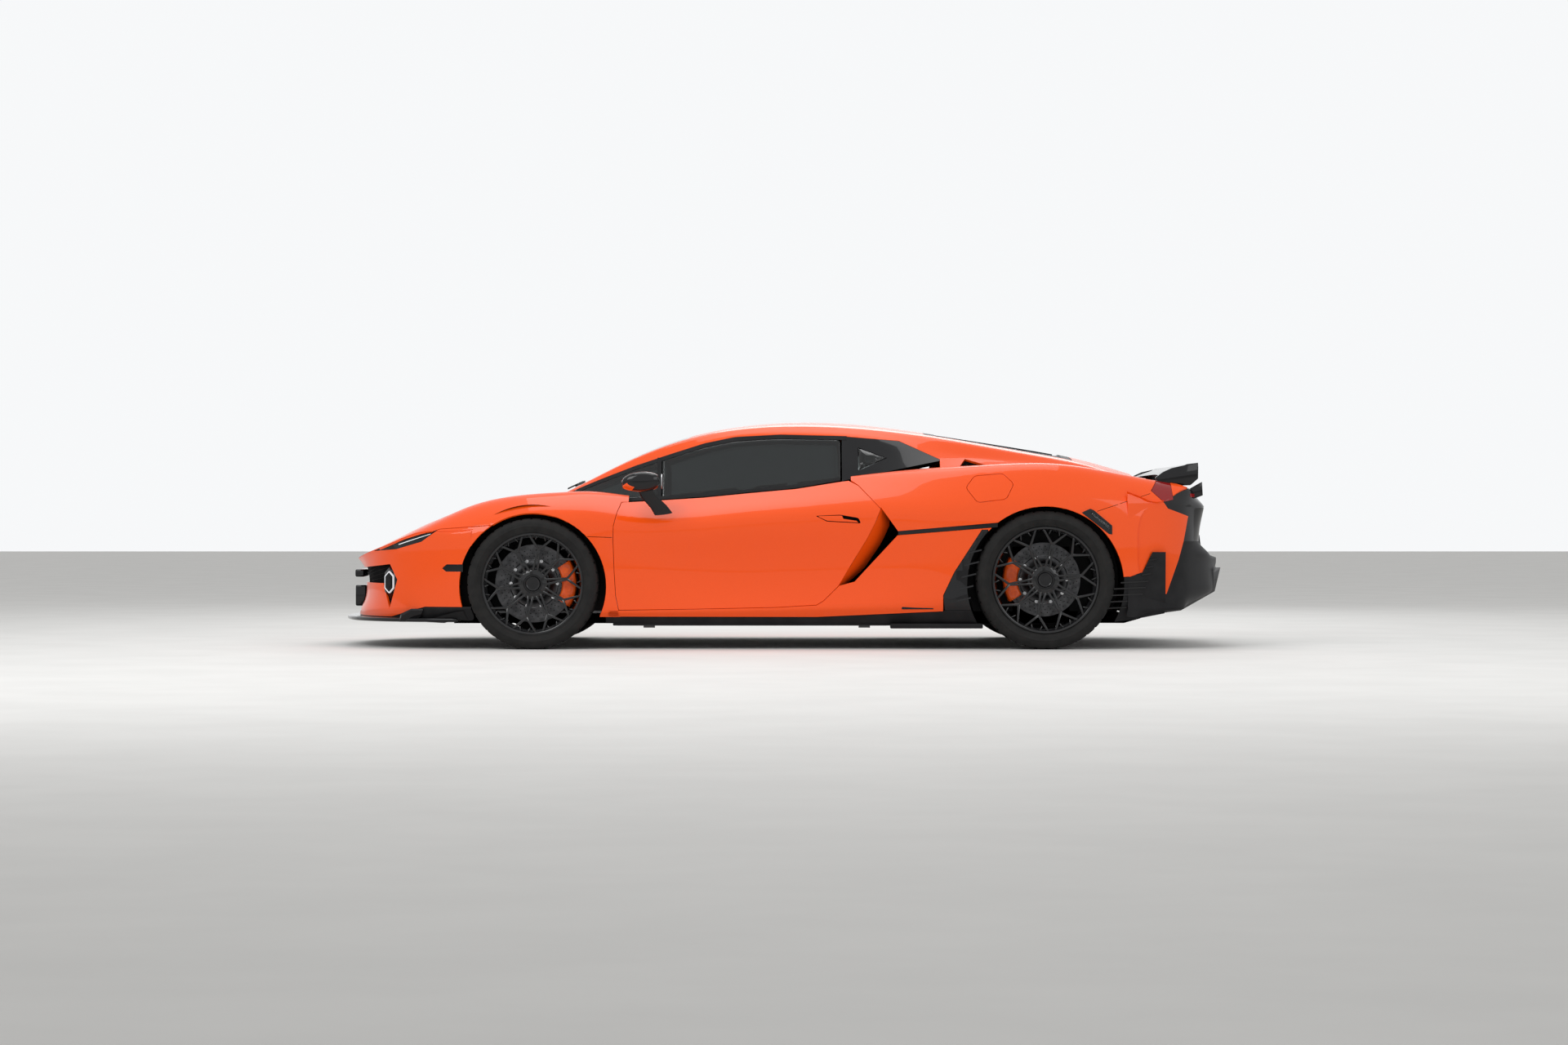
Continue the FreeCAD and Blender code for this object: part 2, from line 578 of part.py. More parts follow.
# Sills, roof, rear quarters and tail
sill_prism = block(at("door", 6), at("rear", -360), -1150, -870, 60, sill_top)
sill = body.common(half).common(sill_prism).cut(front_well).cut(rear_well)
keep("side_sills", both(sill))
roof_from, roof_to = at("front", 100), at("cabin", 575)
roof = left_shell.common(block(roof_from, roof_to, -1150, 0, 700, 1300))
roof = roof.cut(screen_prism).cut(side_prism(side_window, -1100, -400, gap)).cut(hull)
roof = roof.cut(side_prism(FRONT_SAIL, -1100, -400)).cut(quarter_prism)
keep("roof", joined(roof))
outlet_prism = side_prism(OUTLET, -1150, -820)
slot_prism = side_prism(SLOT, -1150, -820)
intake_prism = side_prism(INTAKE, -1150, -780)
fuel_void = side_prism(FUEL_FLAP, -1150, -780, 4)
tail_prism = side_prism(TAIL_SEAM, -1150, 0)
quarter = left_shell.common(block(at("door", 300), tail_x, -1150, 0, sill_top, 1300))
quarter = quarter.cut(block(roof_from, roof_to, -1150, 0, 760, 1300).cut(hull))
quarter = quarter.cut(side_prism(side_window, -1100, -400, gap)).cut(door_relief)
for cutter in (door_void, cover_void, quarter_prism, tail_prism, outlet_prism, slot_prism, intake_prism, fuel_void):
    quarter = quarter.cut(cutter)
cover_ears = hinge_ears(cover_hinge, 1096, 1121, at("cabin", 600), cover_hinge.x + 12)
cover_ears = cover_ears.fuse(block(at("cabin", 600), at("cabin", 630), -330, -270, 1096, 1130))
quarter = quarter.fuse(cover_ears)
quarters = quarter.cut(flap_room).fuse(flap_rod).fuse(mirrored(quarter.fuse(flap_right)))
keep("rear_quarters", quarters)
keep("side_outlets", both(left_shell.common(outlet_prism).cut(sill_prism)))

diffuser_prism = joined(side_prism(DIFFUSER))
lamp = side_prism(TAIL_LAMP, -1150, -640)
tail = left_shell.common(tail_prism).cut(cover_void).cut(diffuser_prism).cut(lamp)
pipe_y = -size["exhaust_spacing"] / 2
pipe_room = round_x(size["exhaust_radius"] + 0.3, at("tail", -430), at("tail", 60), pipe_y, size["exhaust_height"])
tail = tail.cut(pipe_room)
keep("rear_bumper", joined(tail))
keep("tail_lamps", both(left_shell.common(tail_prism).common(lamp)))
fin_places = (-480, -290, -100, 100, 290, 480)
fins = [block(at("tail", -560), at("tail", -30), y - 6, y + 6, 150, 440) for y in fin_places]
fins = body.common(Part.makeCompound(fins)).common(diffuser_prism)
tunnel = diffuser_prism.translated(Vec(30, 0, -36)).common(block(at("tail", -700), tail_x, -760, 760, 0, 470))
tray = body.common(diffuser_prism).cut(tunnel)
keep("diffuser", tray.fuse(fins).cut(hollow_hull).cut(joined(rear_well)).cut(joined(pipe_room)))


# Wheels, uprights, calipers and arms
def make_caliper(x, y, radius, disc_radius, rim_radius, side):
    """Caliper over the disc's edge, ahead of (-1) or behind (1) the left wheel's axle."""
    inner = rim_radius - BEAD_DEPTH - size["rim_wall"]
    disc_to = DISC_FROM + size["disc_thickness"]
    outside = round_y(inner - 9, y - 50, y + 56, x, radius)
    arc = outside.cut(round_y(disc_radius - 62, y - 60, y + 70, x, radius))
    arc = arc.cut(round_y(disc_radius + 7, y + DISC_FROM - 6, y + disc_to + 6, x, radius))
    reach = inner * 1.4
    wedge = flat_face([Vec(x, y - 60, radius), Vec(x + side * reach, y - 60, radius - reach * 0.55),
                       Vec(x + side * reach, y - 60, radius + reach * 0.55)]).extrude(Vec(0, 140, 0))
    return arc.common(wedge)


def make_upright(x, y, radius, kingpin, disc_radius, side, drop):
    """Wheel carrier with its stub axle, bracket for the caliper and ball joint bosses above and below."""
    disc_to = DISC_FROM + size["disc_thickness"]
    axle = size["bore_diameter"] / 2 - size["bearing_clearance"]
    post = block(x - 30, x + 30, y + HUB_INNER + 6, y + 92, radius - drop, radius + drop)
    post = post.fuse(round_y(axle, y - 48, y + 60, x, radius))
    bracket = block(min(x, x + side * (disc_radius - 10)), max(x, x + side * (disc_radius - 10)),
                    y + 56, y + 72, radius - 42, radius + 42)
    boss = Part.makeCylinder(24, 2 * drop, Vec(x, y + kingpin, radius - drop))
    return post.fuse(bracket).fuse(boss)


def make_arm(x, y, z, kingpin, inner_y, spread):
    """V-shaped arm from its ball joint boss to two feet on the chassis."""
    run = -inner_y - (y + kingpin)
    tip = Vec(x, y + kingpin, z)
    corners = [(-26, 0), (-spread, run), (-spread + 40, run), (0, 70), (spread - 40, run), (spread, run), (26, 0)]
    arm = flat_face([tip + Vec(u, v, 0) for u, v in corners]).extrude(Vec(0, 0, 24))
    return arm.fuse(Part.makeCylinder(32, 24, tip))


kingpin = size["kingpin_inset"]
drop = 125
rail_y = 420
wheels = {
    "front": (front_x, size["front_track"] / 2, front_z, size["front_tyre_width"], size["front_rim_diameter"] / 2,
              size["front_disc_diameter"] / 2, 1),
    "rear": (rear_x, size["rear_track"] / 2, rear_z, size["rear_tyre_width"], size["rear_rim_diameter"] / 2,
             size["rear_disc_diameter"] / 2, -1),
}
uprights = {}
calipers = {}
arms = {}
for end, (x, y, radius, width, rim_radius, disc_radius, side) in wheels.items():
    tyre = make_tyre(end + "_tyre_left", x, -y, radius, width, rim_radius)
    wheel = make_wheel(end + "_wheel_left", x, -y, radius, width, rim_radius, disc_radius)
    finish(end + "_tyre_right", mirror_of(end + "_tyre_right", tyre))
    finish(end + "_wheel_right", mirror_of(end + "_wheel_right", wheel))
    uprights[end] = make_upright(x, -y, radius, kingpin, disc_radius, side, drop)
    calipers[end] = make_caliper(x, -y, radius, disc_radius, rim_radius, side)
    inner = well_y if end == "front" else rail_y
    lower = make_arm(x, -y, radius - drop - 24.3, kingpin, inner, 130)
    upper = make_arm(x, -y, radius + drop + 0.3, kingpin, inner, 120)
    arms[end] = Part.makeCompound([lower, upper])
keep("front_upright_left", uprights["front"])
keep("front_upright_right", mirrored(uprights["front"]))
keep("front_caliper_left", calipers["front"])
keep("front_caliper_right", mirrored(calipers["front"]))
keep("rear_uprights", both(uprights["rear"]))
keep("rear_calipers", both(calipers["rear"]))
keep("front_arms", both(arms["front"]))
keep("rear_arms", both(arms["rear"]))


# Wheel arch liners
def make_liner(x, z, radius, y_from, y_to, z_from):
    ring = round_y(radius + 4, y_from, y_to, x, z).cut(round_y(radius, y_from, y_to, x, z))
    return ring.common(block(x - 600, x + 600, -1150, 0, z_from, 1000))


front_liner = make_liner(front_x, front_z, size["well_radius"], -lip_y, -well_y, 205)
rear_liner = make_liner(rear_x, rear_z, size["rear_arch_radius"], -930, -rear_well_y, 240)
keep("arch_liners", both(Part.makeCompound([front_liner.cut(shell), rear_liner.cut(shell)])))

# Tub, chassis frame, engine and cabin
floor_z = size["floor_bottom"]
floor_top = floor_z + size["floor_thickness"]
tub_y = size["tub_half_width"]
bulkhead_x = door_x + 2
seat_back_x = at("cabin", 440)
wall = 30
nose_box_x = at("nose", 330)
tub = block(bulkhead_x, seat_back_x + wall, -tub_y, tub_y, floor_z, floor_top)
side_rail = block(bulkhead_x, seat_back_x + wall, -tub_y, -tub_y + 150, floor_z, size["sill_height"])
side_rail = side_rail.cut(block(bulkhead_x + wall, seat_back_x, -tub_y + 12, -tub_y + 138, floor_z + 12,
                                size["sill_height"] - 12))
front_wall = block(bulkhead_x, bulkhead_x + wall, -tub_y, tub_y, floor_z, 690)
front_wall = front_wall.cut(block(bulkhead_x - 10, bulkhead_x + wall + 10, -well_y + 40, well_y - 40, floor_top, 560))
back_wall = block(seat_back_x, seat_back_x + wall, -tub_y + 100, tub_y - 100, floor_z, 830)
spine = block(bulkhead_x + wall, seat_back_x, -90, 90, floor_top, 330)
brackets = []
for z in hinge_heights:
    eye = Part.makeCylinder(15, 24, Vec(hinge_x, hinge_y, z - 12))
    reach = block(hinge_x - 10, hinge_x + 10, hinge_y, -760, z - 12, z + 12)
    foot = block(bulkhead_x + wall, hinge_x + 10, -785, -760, z - 12, z + 12)
    bore = hinge_bore(Vec(hinge_x, hinge_y, z), Vec(0, 0, 1), door_pin, 60)
    brackets += [eye.fuse([reach, foot]).cut(bore)]
tub = tub.fuse([joined(side_rail), front_wall, back_wall, spine] + [joined(bracket) for bracket in brackets])
jack_pads = [block(x - 30, x + 30, y - 30, y + 30, floor_z - 12, floor_z + 4)
             for x in (bulkhead_x + 164, seat_back_x - 85) for y in (75 - tub_y, tub_y - 75)]
keep("tub", tub.fuse(jack_pads))

footwell_x = at("front", 150)
box = block(nose_box_x, bulkhead_x, -well_y, well_y, floor_z + 60, 620)
box = box.cut(block(nose_box_x + 20, footwell_x - 20, -well_y + 20, well_y - 20, 260, 700))
box = box.cut(block(footwell_x, bulkhead_x + 1, -well_y + 20, well_y - 20, floor_top + 60, 600))
tow_bore = 8
tow_at = Vec(nose_box_x, -500, 300)
tow_boss = Part.makeCylinder(tow_bore + 10, 40, tow_at, Vec(1, 0, 0))
box = box.common(hollow_hull.translated(Vec(0, 0, -gap))).fuse(tow_boss)
keep("front_frame", box.cut(Part.makeCylinder(tow_bore, 40, tow_at, Vec(1, 0, 0))))
cowl_outline = ((48, 728), (48, 740), (94, 742), (150, 800), (158, 800), (104, 728))
cowl = flat_face([Vec(at("front", dx), -611, z) for dx, z in cowl_outline]).extrude(Vec(0, 1222, 0))
bonnet_ears = hinge_ears(bonnet_hinge, 738, 777, bonnet_hinge.x - 12, bonnet_hinge.x + 12)
well_room = round_y(size["well_radius"] + 4, -lip_y, -well_y, front_x, front_z)
cowl = cowl.cut([well_room, mirrored(well_room)])
keep("cowl", cowl.cut(canopy).fuse([bonnet_ears, mirrored(bonnet_ears)]))

rail_end = at("tail", -420)
rail_inner = rail_y - size["rail_width"]
rail_low = size["rail_bottom"]
rail_high = rail_low + size["rail_height"]
rail = block(seat_back_x + wall, rail_end, -rail_y, -rail_inner, rail_low, rail_high)
cross = [block(at("rear", dx), at("rear", dx) + 60, -rail_inner, rail_inner, rail_low, rail_high)
         for dx in (-430, 430)]
tower_top = 560
towers = block(rear_x - 140, rear_x + 140, -rail_y, 30 - rail_y, 190, tower_top)
liner_top = rear_z + size["rear_arch_radius"] + 4
stay = block(rear_x - 15, rear_x + 15, -rail_y, 30 - rail_y, tower_top, liner_top + 12)
stay = stay.fuse(block(rear_x - 40, rear_x + 40, -rear_well_y - 20, 30 - rail_y, liner_top - 3, liner_top + 12))
stay = stay.cut(round_y(size["rear_arch_radius"] + 4, -930, -rear_well_y, rear_x, rear_z))
keep("rear_frame", joined(rail.fuse(towers).fuse(stay)).fuse(cross))
engine = primitive("Part::Box", "engine", Length="Sizes.engine_length", Width="Sizes.engine_width",
                   Height="Sizes.engine_height")
place(engine, seat_back_x + wall + 60, -size["engine_width"] / 2, rail_high)
engine.setExpression("Placement.Base.y", "-Sizes.engine_width / 2")
engine.setExpression("Placement.Base.z", "Sizes.rail_bottom + Sizes.rail_height")
finish("engine", engine)


def make_seat(y):
    cushion = block(-150, 330, y - 240, y + 240, floor_top + 0.3, 300)
    back = flat_face([Vec(250, y - 235, 200), Vec(380, y - 235, 200), Vec(465, y - 235, 960), Vec(380, y - 235, 960)])
    back = back.extrude(Vec(0, 470, 0))
    return cushion.fuse(back)


keep("seats", both(make_seat(-370)))
dash = flat_face([Vec(x, -720, z) for x, z in ((bulkhead_x + wall, 560), (-420, 520), (-440, 650), (-520, 735),
                                             (-800, 745), (bulkhead_x + wall, 700))])
wheel_at = Vec(-330, -370, 640)
wheel_tilt = 68
column_way = Vec(math.sin(math.radians(wheel_tilt)), 0, math.cos(math.radians(wheel_tilt)))
column_pin = 18
column = Part.makeCylinder(column_pin, 170, wheel_at - column_way * 150, column_way)
column = column.fuse(Part.makeCylinder(36, 110, wheel_at - column_way * 150, column_way))
keep("dashboard", dash.extrude(Vec(0, 1440, 0)).fuse(column))
grip = Part.makeTorus(172, 15, Vec(0, 0, 0), Vec(0, 0, 1))
spoke = Part.makeBox(172, 30, 10, Vec(0, -15, -5))
spokes = [spoke.rotated(Vec(0, 0, 0), Vec(0, 0, 1), angle) for angle in (90, 270, 0)]
steering = grip.fuse(spokes).fuse(Part.makeCylinder(42, 40, Vec(0, 0, -22)))
steering = steering.cut(Part.makeCylinder(column_pin + size["bearing_clearance"], 120, Vec(0, 0, -60)))
keep("steering_wheel", steering.rotated(Vec(0, 0, 0), Vec(0, 1, 0), wheel_tilt).translated(wheel_at))

# Mirrors, rear wing and exhausts
head = side_prism([("door", 25, 815), ("door", 70, 905), ("door", 240, 925), ("door", 258, 860), ("door", 235, 812)],
                  -1118, -940)
stalk = side_prism([("door", 150, 830), ("door", 215, 830), ("door", 280, 690), ("door", 185, 690)], -1010, -860)
mirror = head.fuse(stalk).cut(body)
keep("mirror_left", mirror)
keep("mirror_right", mirrored(mirror))
wing_half = size["wing_span"] / 2
blade = side_prism([("tail", -404, 915), ("tail", -284, 955), ("tail", -181, 971), ("tail", -176, 945),
                    ("tail", -290, 930)], -wing_half, 0)
post = side_prism([("tail", -340, 830), ("tail", -300, 940), ("tail", -230, 950), ("tail", -260, 830)], -560, -530)
end_plate = side_prism([("tail", -402, 892), ("tail", -315, 944), ("tail", -181, 970), ("tail", -175, 950),
                        ("tail", -176, 888), ("tail", -216, 845), ("tail", -378, 845)],
                       -wing_half, size["wing_plate"] - wing_half)
keep("rear_wing", joined(blade.fuse([post, end_plate]).cut(body)))
outer_pipe = primitive("Part::Cylinder", "exhaust_outside", Radius="Sizes.exhaust_radius",
                       Height="Sizes.exhaust_length")
inner_pipe = primitive("Part::Cylinder", "exhaust_inside", Radius="Sizes.exhaust_radius - Sizes.exhaust_wall",
                       Height="Sizes.exhaust_length")
for pipe, start in ((outer_pipe, -420), (inner_pipe, -400)):
    place(pipe, at("tail", start), pipe_y, size["exhaust_height"], Vec(0, 1, 0), 90)
    pipe.setExpression("Placement.Base.y", "-Sizes.exhaust_spacing / 2")
    pipe.setExpression("Placement.Base.z", "Sizes.exhaust_height")
left_pipe = cut_of("exhaust_left", outer_pipe, inner_pipe)
pipes = doc.addObject("Part::Compound", "exhaust_pipes")
pipes.Links = [left_pipe, mirror_of("exhaust_right", left_pipe)]
finish("exhaust_pipes", pipes)

doc.recompute()
os.makedirs("parts", exist_ok=True)
for label, thing in pieces.items():
    thing.Shape.exportStep("parts/%s.step" % label)
print("%d pieces written" % len(pieces))
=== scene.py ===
import math

import bmesh
import bpy
from mathutils import Matrix, Vector
from mathutils.bvhtree import BVHTree


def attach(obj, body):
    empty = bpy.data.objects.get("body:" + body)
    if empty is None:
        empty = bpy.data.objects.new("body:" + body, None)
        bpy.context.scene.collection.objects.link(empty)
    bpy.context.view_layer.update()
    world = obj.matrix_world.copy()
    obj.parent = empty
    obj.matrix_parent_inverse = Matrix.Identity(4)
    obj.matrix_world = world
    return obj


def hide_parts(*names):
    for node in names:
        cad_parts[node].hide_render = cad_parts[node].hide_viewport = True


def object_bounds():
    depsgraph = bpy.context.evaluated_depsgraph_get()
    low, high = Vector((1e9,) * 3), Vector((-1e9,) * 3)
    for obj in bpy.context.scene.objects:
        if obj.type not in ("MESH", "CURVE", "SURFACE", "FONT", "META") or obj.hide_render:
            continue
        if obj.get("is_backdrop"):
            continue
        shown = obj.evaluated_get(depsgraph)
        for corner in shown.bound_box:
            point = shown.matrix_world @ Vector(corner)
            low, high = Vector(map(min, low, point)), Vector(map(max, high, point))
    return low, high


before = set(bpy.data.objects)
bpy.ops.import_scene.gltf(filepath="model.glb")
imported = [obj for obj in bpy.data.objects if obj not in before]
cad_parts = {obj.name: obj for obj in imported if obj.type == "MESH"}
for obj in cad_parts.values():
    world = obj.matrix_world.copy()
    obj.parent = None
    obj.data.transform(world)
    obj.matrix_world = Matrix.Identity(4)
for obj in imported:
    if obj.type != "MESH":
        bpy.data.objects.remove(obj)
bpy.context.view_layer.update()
print("stage: frame loaded")


# materials
def newMaterial(name, colour, rough=0.5, metal=0.0, coat=0.0, coatRough=0.03, ior=1.45, see=0.0,
                glow=None, glowStrength=0.0, shine=0.5):
    material = bpy.data.materials.new(name)
    material.use_nodes = True
    shader = material.node_tree.nodes["Principled BSDF"]
    shader.inputs["Base Color"].default_value = (*colour, 1)
    shader.inputs["Roughness"].default_value = rough
    shader.inputs["Metallic"].default_value = metal
    shader.inputs["Coat Weight"].default_value = coat
    shader.inputs["Coat Roughness"].default_value = coatRough
    shader.inputs["IOR"].default_value = ior
    shader.inputs["Transmission Weight"].default_value = see
    shader.inputs["Specular IOR Level"].default_value = shine
    if glow:
        shader.inputs["Emission Color"].default_value = (*glow, 1)
        shader.inputs["Emission Strength"].default_value = glowStrength
    return material


def addNode(material, kind, **values):
    node = material.node_tree.nodes.new(kind)
    for key, value in values.items():
        if key in node.inputs:
            node.inputs[key].default_value = value
        else:
            setattr(node, key, value)
    return node


def link(material, source, target):
    material.node_tree.links.new(source, target)


def placeNode(material, scale=(1, 1, 1)):
    coords = addNode(material, "ShaderNodeTexCoord")
    mapping = addNode(material, "ShaderNodeMapping")
    mapping.inputs["Scale"].default_value = scale
    link(material, coords.outputs["Object"], mapping.inputs["Vector"])
    return mapping


def addVariation(material, colourA, colourB, scale, roughLow, roughHigh, detail=4.0):
    # slow colour and roughness drift over the surface
    shader = material.node_tree.nodes["Principled BSDF"]
    place = placeNode(material)
    noise = addNode(material, "ShaderNodeTexNoise", Scale=scale, Detail=detail)
    link(material, place.outputs[0], noise.inputs["Vector"])
    ramp = addNode(material, "ShaderNodeValToRGB")
    ramp.color_ramp.elements[0].color = (*colourA, 1)
    ramp.color_ramp.elements[1].color = (*colourB, 1)
    ramp.color_ramp.elements[0].position = 0.35
    ramp.color_ramp.elements[1].position = 0.65
    link(material, noise.outputs["Fac"], ramp.inputs["Fac"])
    link(material, ramp.outputs["Color"], shader.inputs["Base Color"])
    spread = addNode(material, "ShaderNodeMapRange")
    spread.inputs["To Min"].default_value = roughLow
    spread.inputs["To Max"].default_value = roughHigh
    link(material, noise.outputs["Fac"], spread.inputs["Value"])
    link(material, spread.outputs[0], shader.inputs["Roughness"])
    return place


def addBump(material, kind, scale, strength, depth=0.001, stretch=(1, 1, 1), output=None):
    shader = material.node_tree.nodes["Principled BSDF"]
    place = placeNode(material, stretch)
    texture = addNode(material, kind, Scale=scale)
    link(material, place.outputs[0], texture.inputs["Vector"])
    bump = addNode(material, "ShaderNodeBump", Strength=strength, Distance=depth)
    link(material, texture.outputs[output or 0], bump.inputs["Height"])
    link(material, bump.outputs["Normal"], shader.inputs["Normal"])
    return bump


def addRipple(material, scale, low, high):
    # a faint unevenness in how sharp a clear surface mirrors
    shader = material.node_tree.nodes["Principled BSDF"]
    place = placeNode(material)
    noise = addNode(material, "ShaderNodeTexNoise", Scale=scale, Detail=3.0)
    link(material, place.outputs[0], noise.inputs["Vector"])
    spread = addNode(material, "ShaderNodeMapRange")
    spread.inputs["To Min"].default_value = low
    spread.inputs["To Max"].default_value = high
    link(material, noise.outputs["Fac"], spread.inputs["Value"])
    link(material, spread.outputs[0], shader.inputs["Roughness"])


orangePaint = newMaterial("orangePaint", (0.93, 0.088, 0.004), 0.36, 0.0, 0.55, 0.02, shine=0.12)
addVariation(orangePaint, (0.9, 0.08, 0.004), (0.98, 0.1, 0.005), 900, 0.3, 0.42)
addBump(orangePaint, "ShaderNodeTexVoronoi", 2600, 0.03, 0.0004)
blackGloss = newMaterial("blackGloss", (0.004, 0.004, 0.005), 0.14, 0, 0.45, 0.02, shine=0.15)
addVariation(blackGloss, (0.003, 0.003, 0.004), (0.006, 0.006, 0.007), 5, 0.1, 0.18)
blackSatin = newMaterial("blackSatin", (0.010, 0.010, 0.011), 0.5, shine=0.2)
addVariation(blackSatin, (0.008, 0.008, 0.009), (0.014, 0.014, 0.015), 12, 0.42, 0.56)
addBump(blackSatin, "ShaderNodeTexNoise", 900, 0.12, 0.0006)
# near-black for dark shut lines, and painted shade: sheets and walls set in holes, hollows, pockets and the
# engine bay where only shade would be
jointAndShadeBlack = newMaterial("jointAndShadeBlack", (0.002, 0.002, 0.002), 0.9, shine=0.03)
addVariation(jointAndShadeBlack, (0.0015, 0.0015, 0.0015), (0.003, 0.003, 0.003), 20, 0.85, 0.95)
addBump(jointAndShadeBlack, "ShaderNodeTexNoise", 60, 0.2, 0.002)
tintedGlass = newMaterial("tintedGlass", (0.1, 0.115, 0.115), 0.0, ior=1.45, see=1.0)
addRipple(tintedGlass, 6, 0.0, 0.012)
clearLens = newMaterial("clearLens", (0.96, 0.97, 0.98), 0.0, ior=1.4, see=1.0)
addRipple(clearLens, 40, 0.0, 0.02)
redLens = newMaterial("redLens", (0.26, 0.003, 0.004), 0.05, coat=0.4, ior=1.45, see=0.25, shine=0.3,
                      glow=(1.0, 0.01, 0.01), glowStrength=0.06)
addRipple(redLens, 60, 0.02, 0.12)
whiteGuide = newMaterial("whiteGuide", (0.75, 0.77, 0.8), 0.2, glow=(0.9, 0.95, 1.0), glowStrength=0.35)
addVariation(whiteGuide, (0.72, 0.74, 0.77), (0.8, 0.82, 0.85), 90, 0.15, 0.25)
rubber = newMaterial("rubber", (0.012, 0.012, 0.012), 0.72, shine=0.25)
addVariation(rubber, (0.009, 0.009, 0.009), (0.017, 0.0165, 0.016), 22, 0.62, 0.82)
addBump(rubber, "ShaderNodeTexNoise", 700, 0.18, 0.0008)
rimBlack = newMaterial("rimBlack", (0.004, 0.004, 0.005), 0.16, 0.0, 0.6, 0.03, shine=0.2)
addVariation(rimBlack, (0.003, 0.003, 0.004), (0.007, 0.007, 0.008), 30, 0.12, 0.22)
caliperPaint = newMaterial("caliperPaint", (0.9, 0.09, 0.006), 0.3, 0, 0.5, 0.05, shine=0.2)
addVariation(caliperPaint, (0.85, 0.09, 0.006), (0.98, 0.13, 0.01), 60, 0.26, 0.38)
# dark steel, its colour pulled further down to paint the shade the discs sit in behind the spokes
shadedDiscSteel = newMaterial("shadedDiscSteel", (0.07, 0.07, 0.073), 0.42, 1.0)
addVariation(shadedDiscSteel, (0.05, 0.05, 0.052), (0.1, 0.1, 0.103), 40, 0.32, 0.5)
brightMetal = newMaterial("brightMetal", (0.62, 0.62, 0.63), 0.25, 1.0)
addVariation(brightMetal, (0.5, 0.5, 0.51), (0.7, 0.7, 0.71), 35, 0.2, 0.38)
castAlloy = newMaterial("castAlloy", (0.35, 0.35, 0.36), 0.5, 1.0)
addVariation(castAlloy, (0.28, 0.28, 0.29), (0.42, 0.42, 0.43), 25, 0.4, 0.6)
addBump(castAlloy, "ShaderNodeTexNoise", 350, 0.2, 0.001)
exhaustSteel = newMaterial("exhaustSteel", (0.28, 0.26, 0.25), 0.3, 1.0)
addVariation(exhaustSteel, (0.16, 0.14, 0.15), (0.42, 0.36, 0.3), 18, 0.2, 0.4)
leather = newMaterial("leather", (0.02, 0.019, 0.019), 0.5)
addVariation(leather, (0.016, 0.015, 0.015), (0.03, 0.028, 0.028), 40, 0.42, 0.6)
addBump(leather, "ShaderNodeTexVoronoi", 420, 0.25, 0.0012)
orangeLeather = newMaterial("orangeLeather", (0.6, 0.09, 0.015), 0.5)
addVariation(orangeLeather, (0.5, 0.07, 0.01), (0.7, 0.11, 0.02), 40, 0.42, 0.6)
addBump(orangeLeather, "ShaderNodeTexVoronoi", 420, 0.25, 0.0012)
softTrim = newMaterial("softTrim", (0.022, 0.022, 0.023), 0.7)
addVariation(softTrim, (0.016, 0.016, 0.017), (0.03, 0.03, 0.031), 60, 0.6, 0.8)
addBump(softTrim, "ShaderNodeTexNoise", 1200, 0.2, 0.0006)
carbonWeave = newMaterial("carbonWeave", (0.02, 0.02, 0.021), 0.3, 0, 0.8, 0.05)
weavePlace = placeNode(carbonWeave)
weaveCheck = addNode(carbonWeave, "ShaderNodeTexChecker", Scale=260)
weaveCheck.inputs["Color1"].default_value = (0.012, 0.012, 0.013, 1)
weaveCheck.inputs["Color2"].default_value = (0.04, 0.04, 0.042, 1)
link(carbonWeave, weavePlace.outputs[0], weaveCheck.inputs["Vector"])
link(carbonWeave, weaveCheck.outputs["Color"],
     carbonWeave.node_tree.nodes["Principled BSDF"].inputs["Base Color"])
screenGlow = newMaterial("screenGlow", (0.01, 0.012, 0.015), 0.15, coat=1.0, glow=(0.1, 0.25, 0.4),
                         glowStrength=0.25)
addRipple(screenGlow, 30, 0.08, 0.2)
print("stage: materials")


def mm(x, y, z):
    return Vector((x, y, z)) / 1000


def showPiece(bm, name, material, body="chassis", stands=(), slotName=None, corner=None, merge=0.00002):
    # makes the object; the slot name is not used
    if merge:
        bmesh.ops.remove_doubles(bm, verts=bm.verts[:], dist=merge)
    mesh = bpy.data.meshes.new(name)
    bm.to_mesh(mesh)
    bm.free()
    piece = bpy.data.objects.new(name, mesh)
    bpy.context.scene.collection.objects.link(piece)
    mesh.materials.append(material)
    mesh.shade_smooth()
    if corner:
        mesh.set_sharp_from_angle(angle=math.radians(corner))
    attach(piece, body)
    if stands:
        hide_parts(*stands)
    return piece


def outward(bm):
    bmesh.ops.recalc_face_normals(bm, faces=bm.faces[:])


def vertsIn(geom):
    return [g for g in geom if isinstance(g, bmesh.types.BMVert)]


def addBoth(bm):
    # adds the mirror image across the middle plane
    made = bmesh.ops.duplicate(bm, geom=bm.verts[:] + bm.edges[:] + bm.faces[:])["geom"]
    bmesh.ops.scale(bm, vec=(1, -1, 1), verts=vertsIn(made))
    bmesh.ops.reverse_faces(bm, faces=[g for g in made if isinstance(g, bmesh.types.BMFace)])


def flipSide(bm):
    bmesh.ops.scale(bm, vec=(1, -1, 1), verts=bm.verts[:])
    bmesh.ops.reverse_faces(bm, faces=bm.faces[:])


def twin(bm):
    right = bm.copy()
    flipSide(right)
    return right


def showPair(bm, name, material, stands=None, slotName=None, **more):
    # a piece on the left door and its mirror image on the right one
    for form, side in ((bm, "left"), (twin(bm), "right")):
        showPiece(form, name + side.capitalize(), material, side + "_door",
                  [stands + "_" + side] if stands else (),
                  slotName, **more)


def showBoth(bm, *about, **more):
    # one piece with its mirror image
    addBoth(bm)
    showPiece(bm, *about, **more)


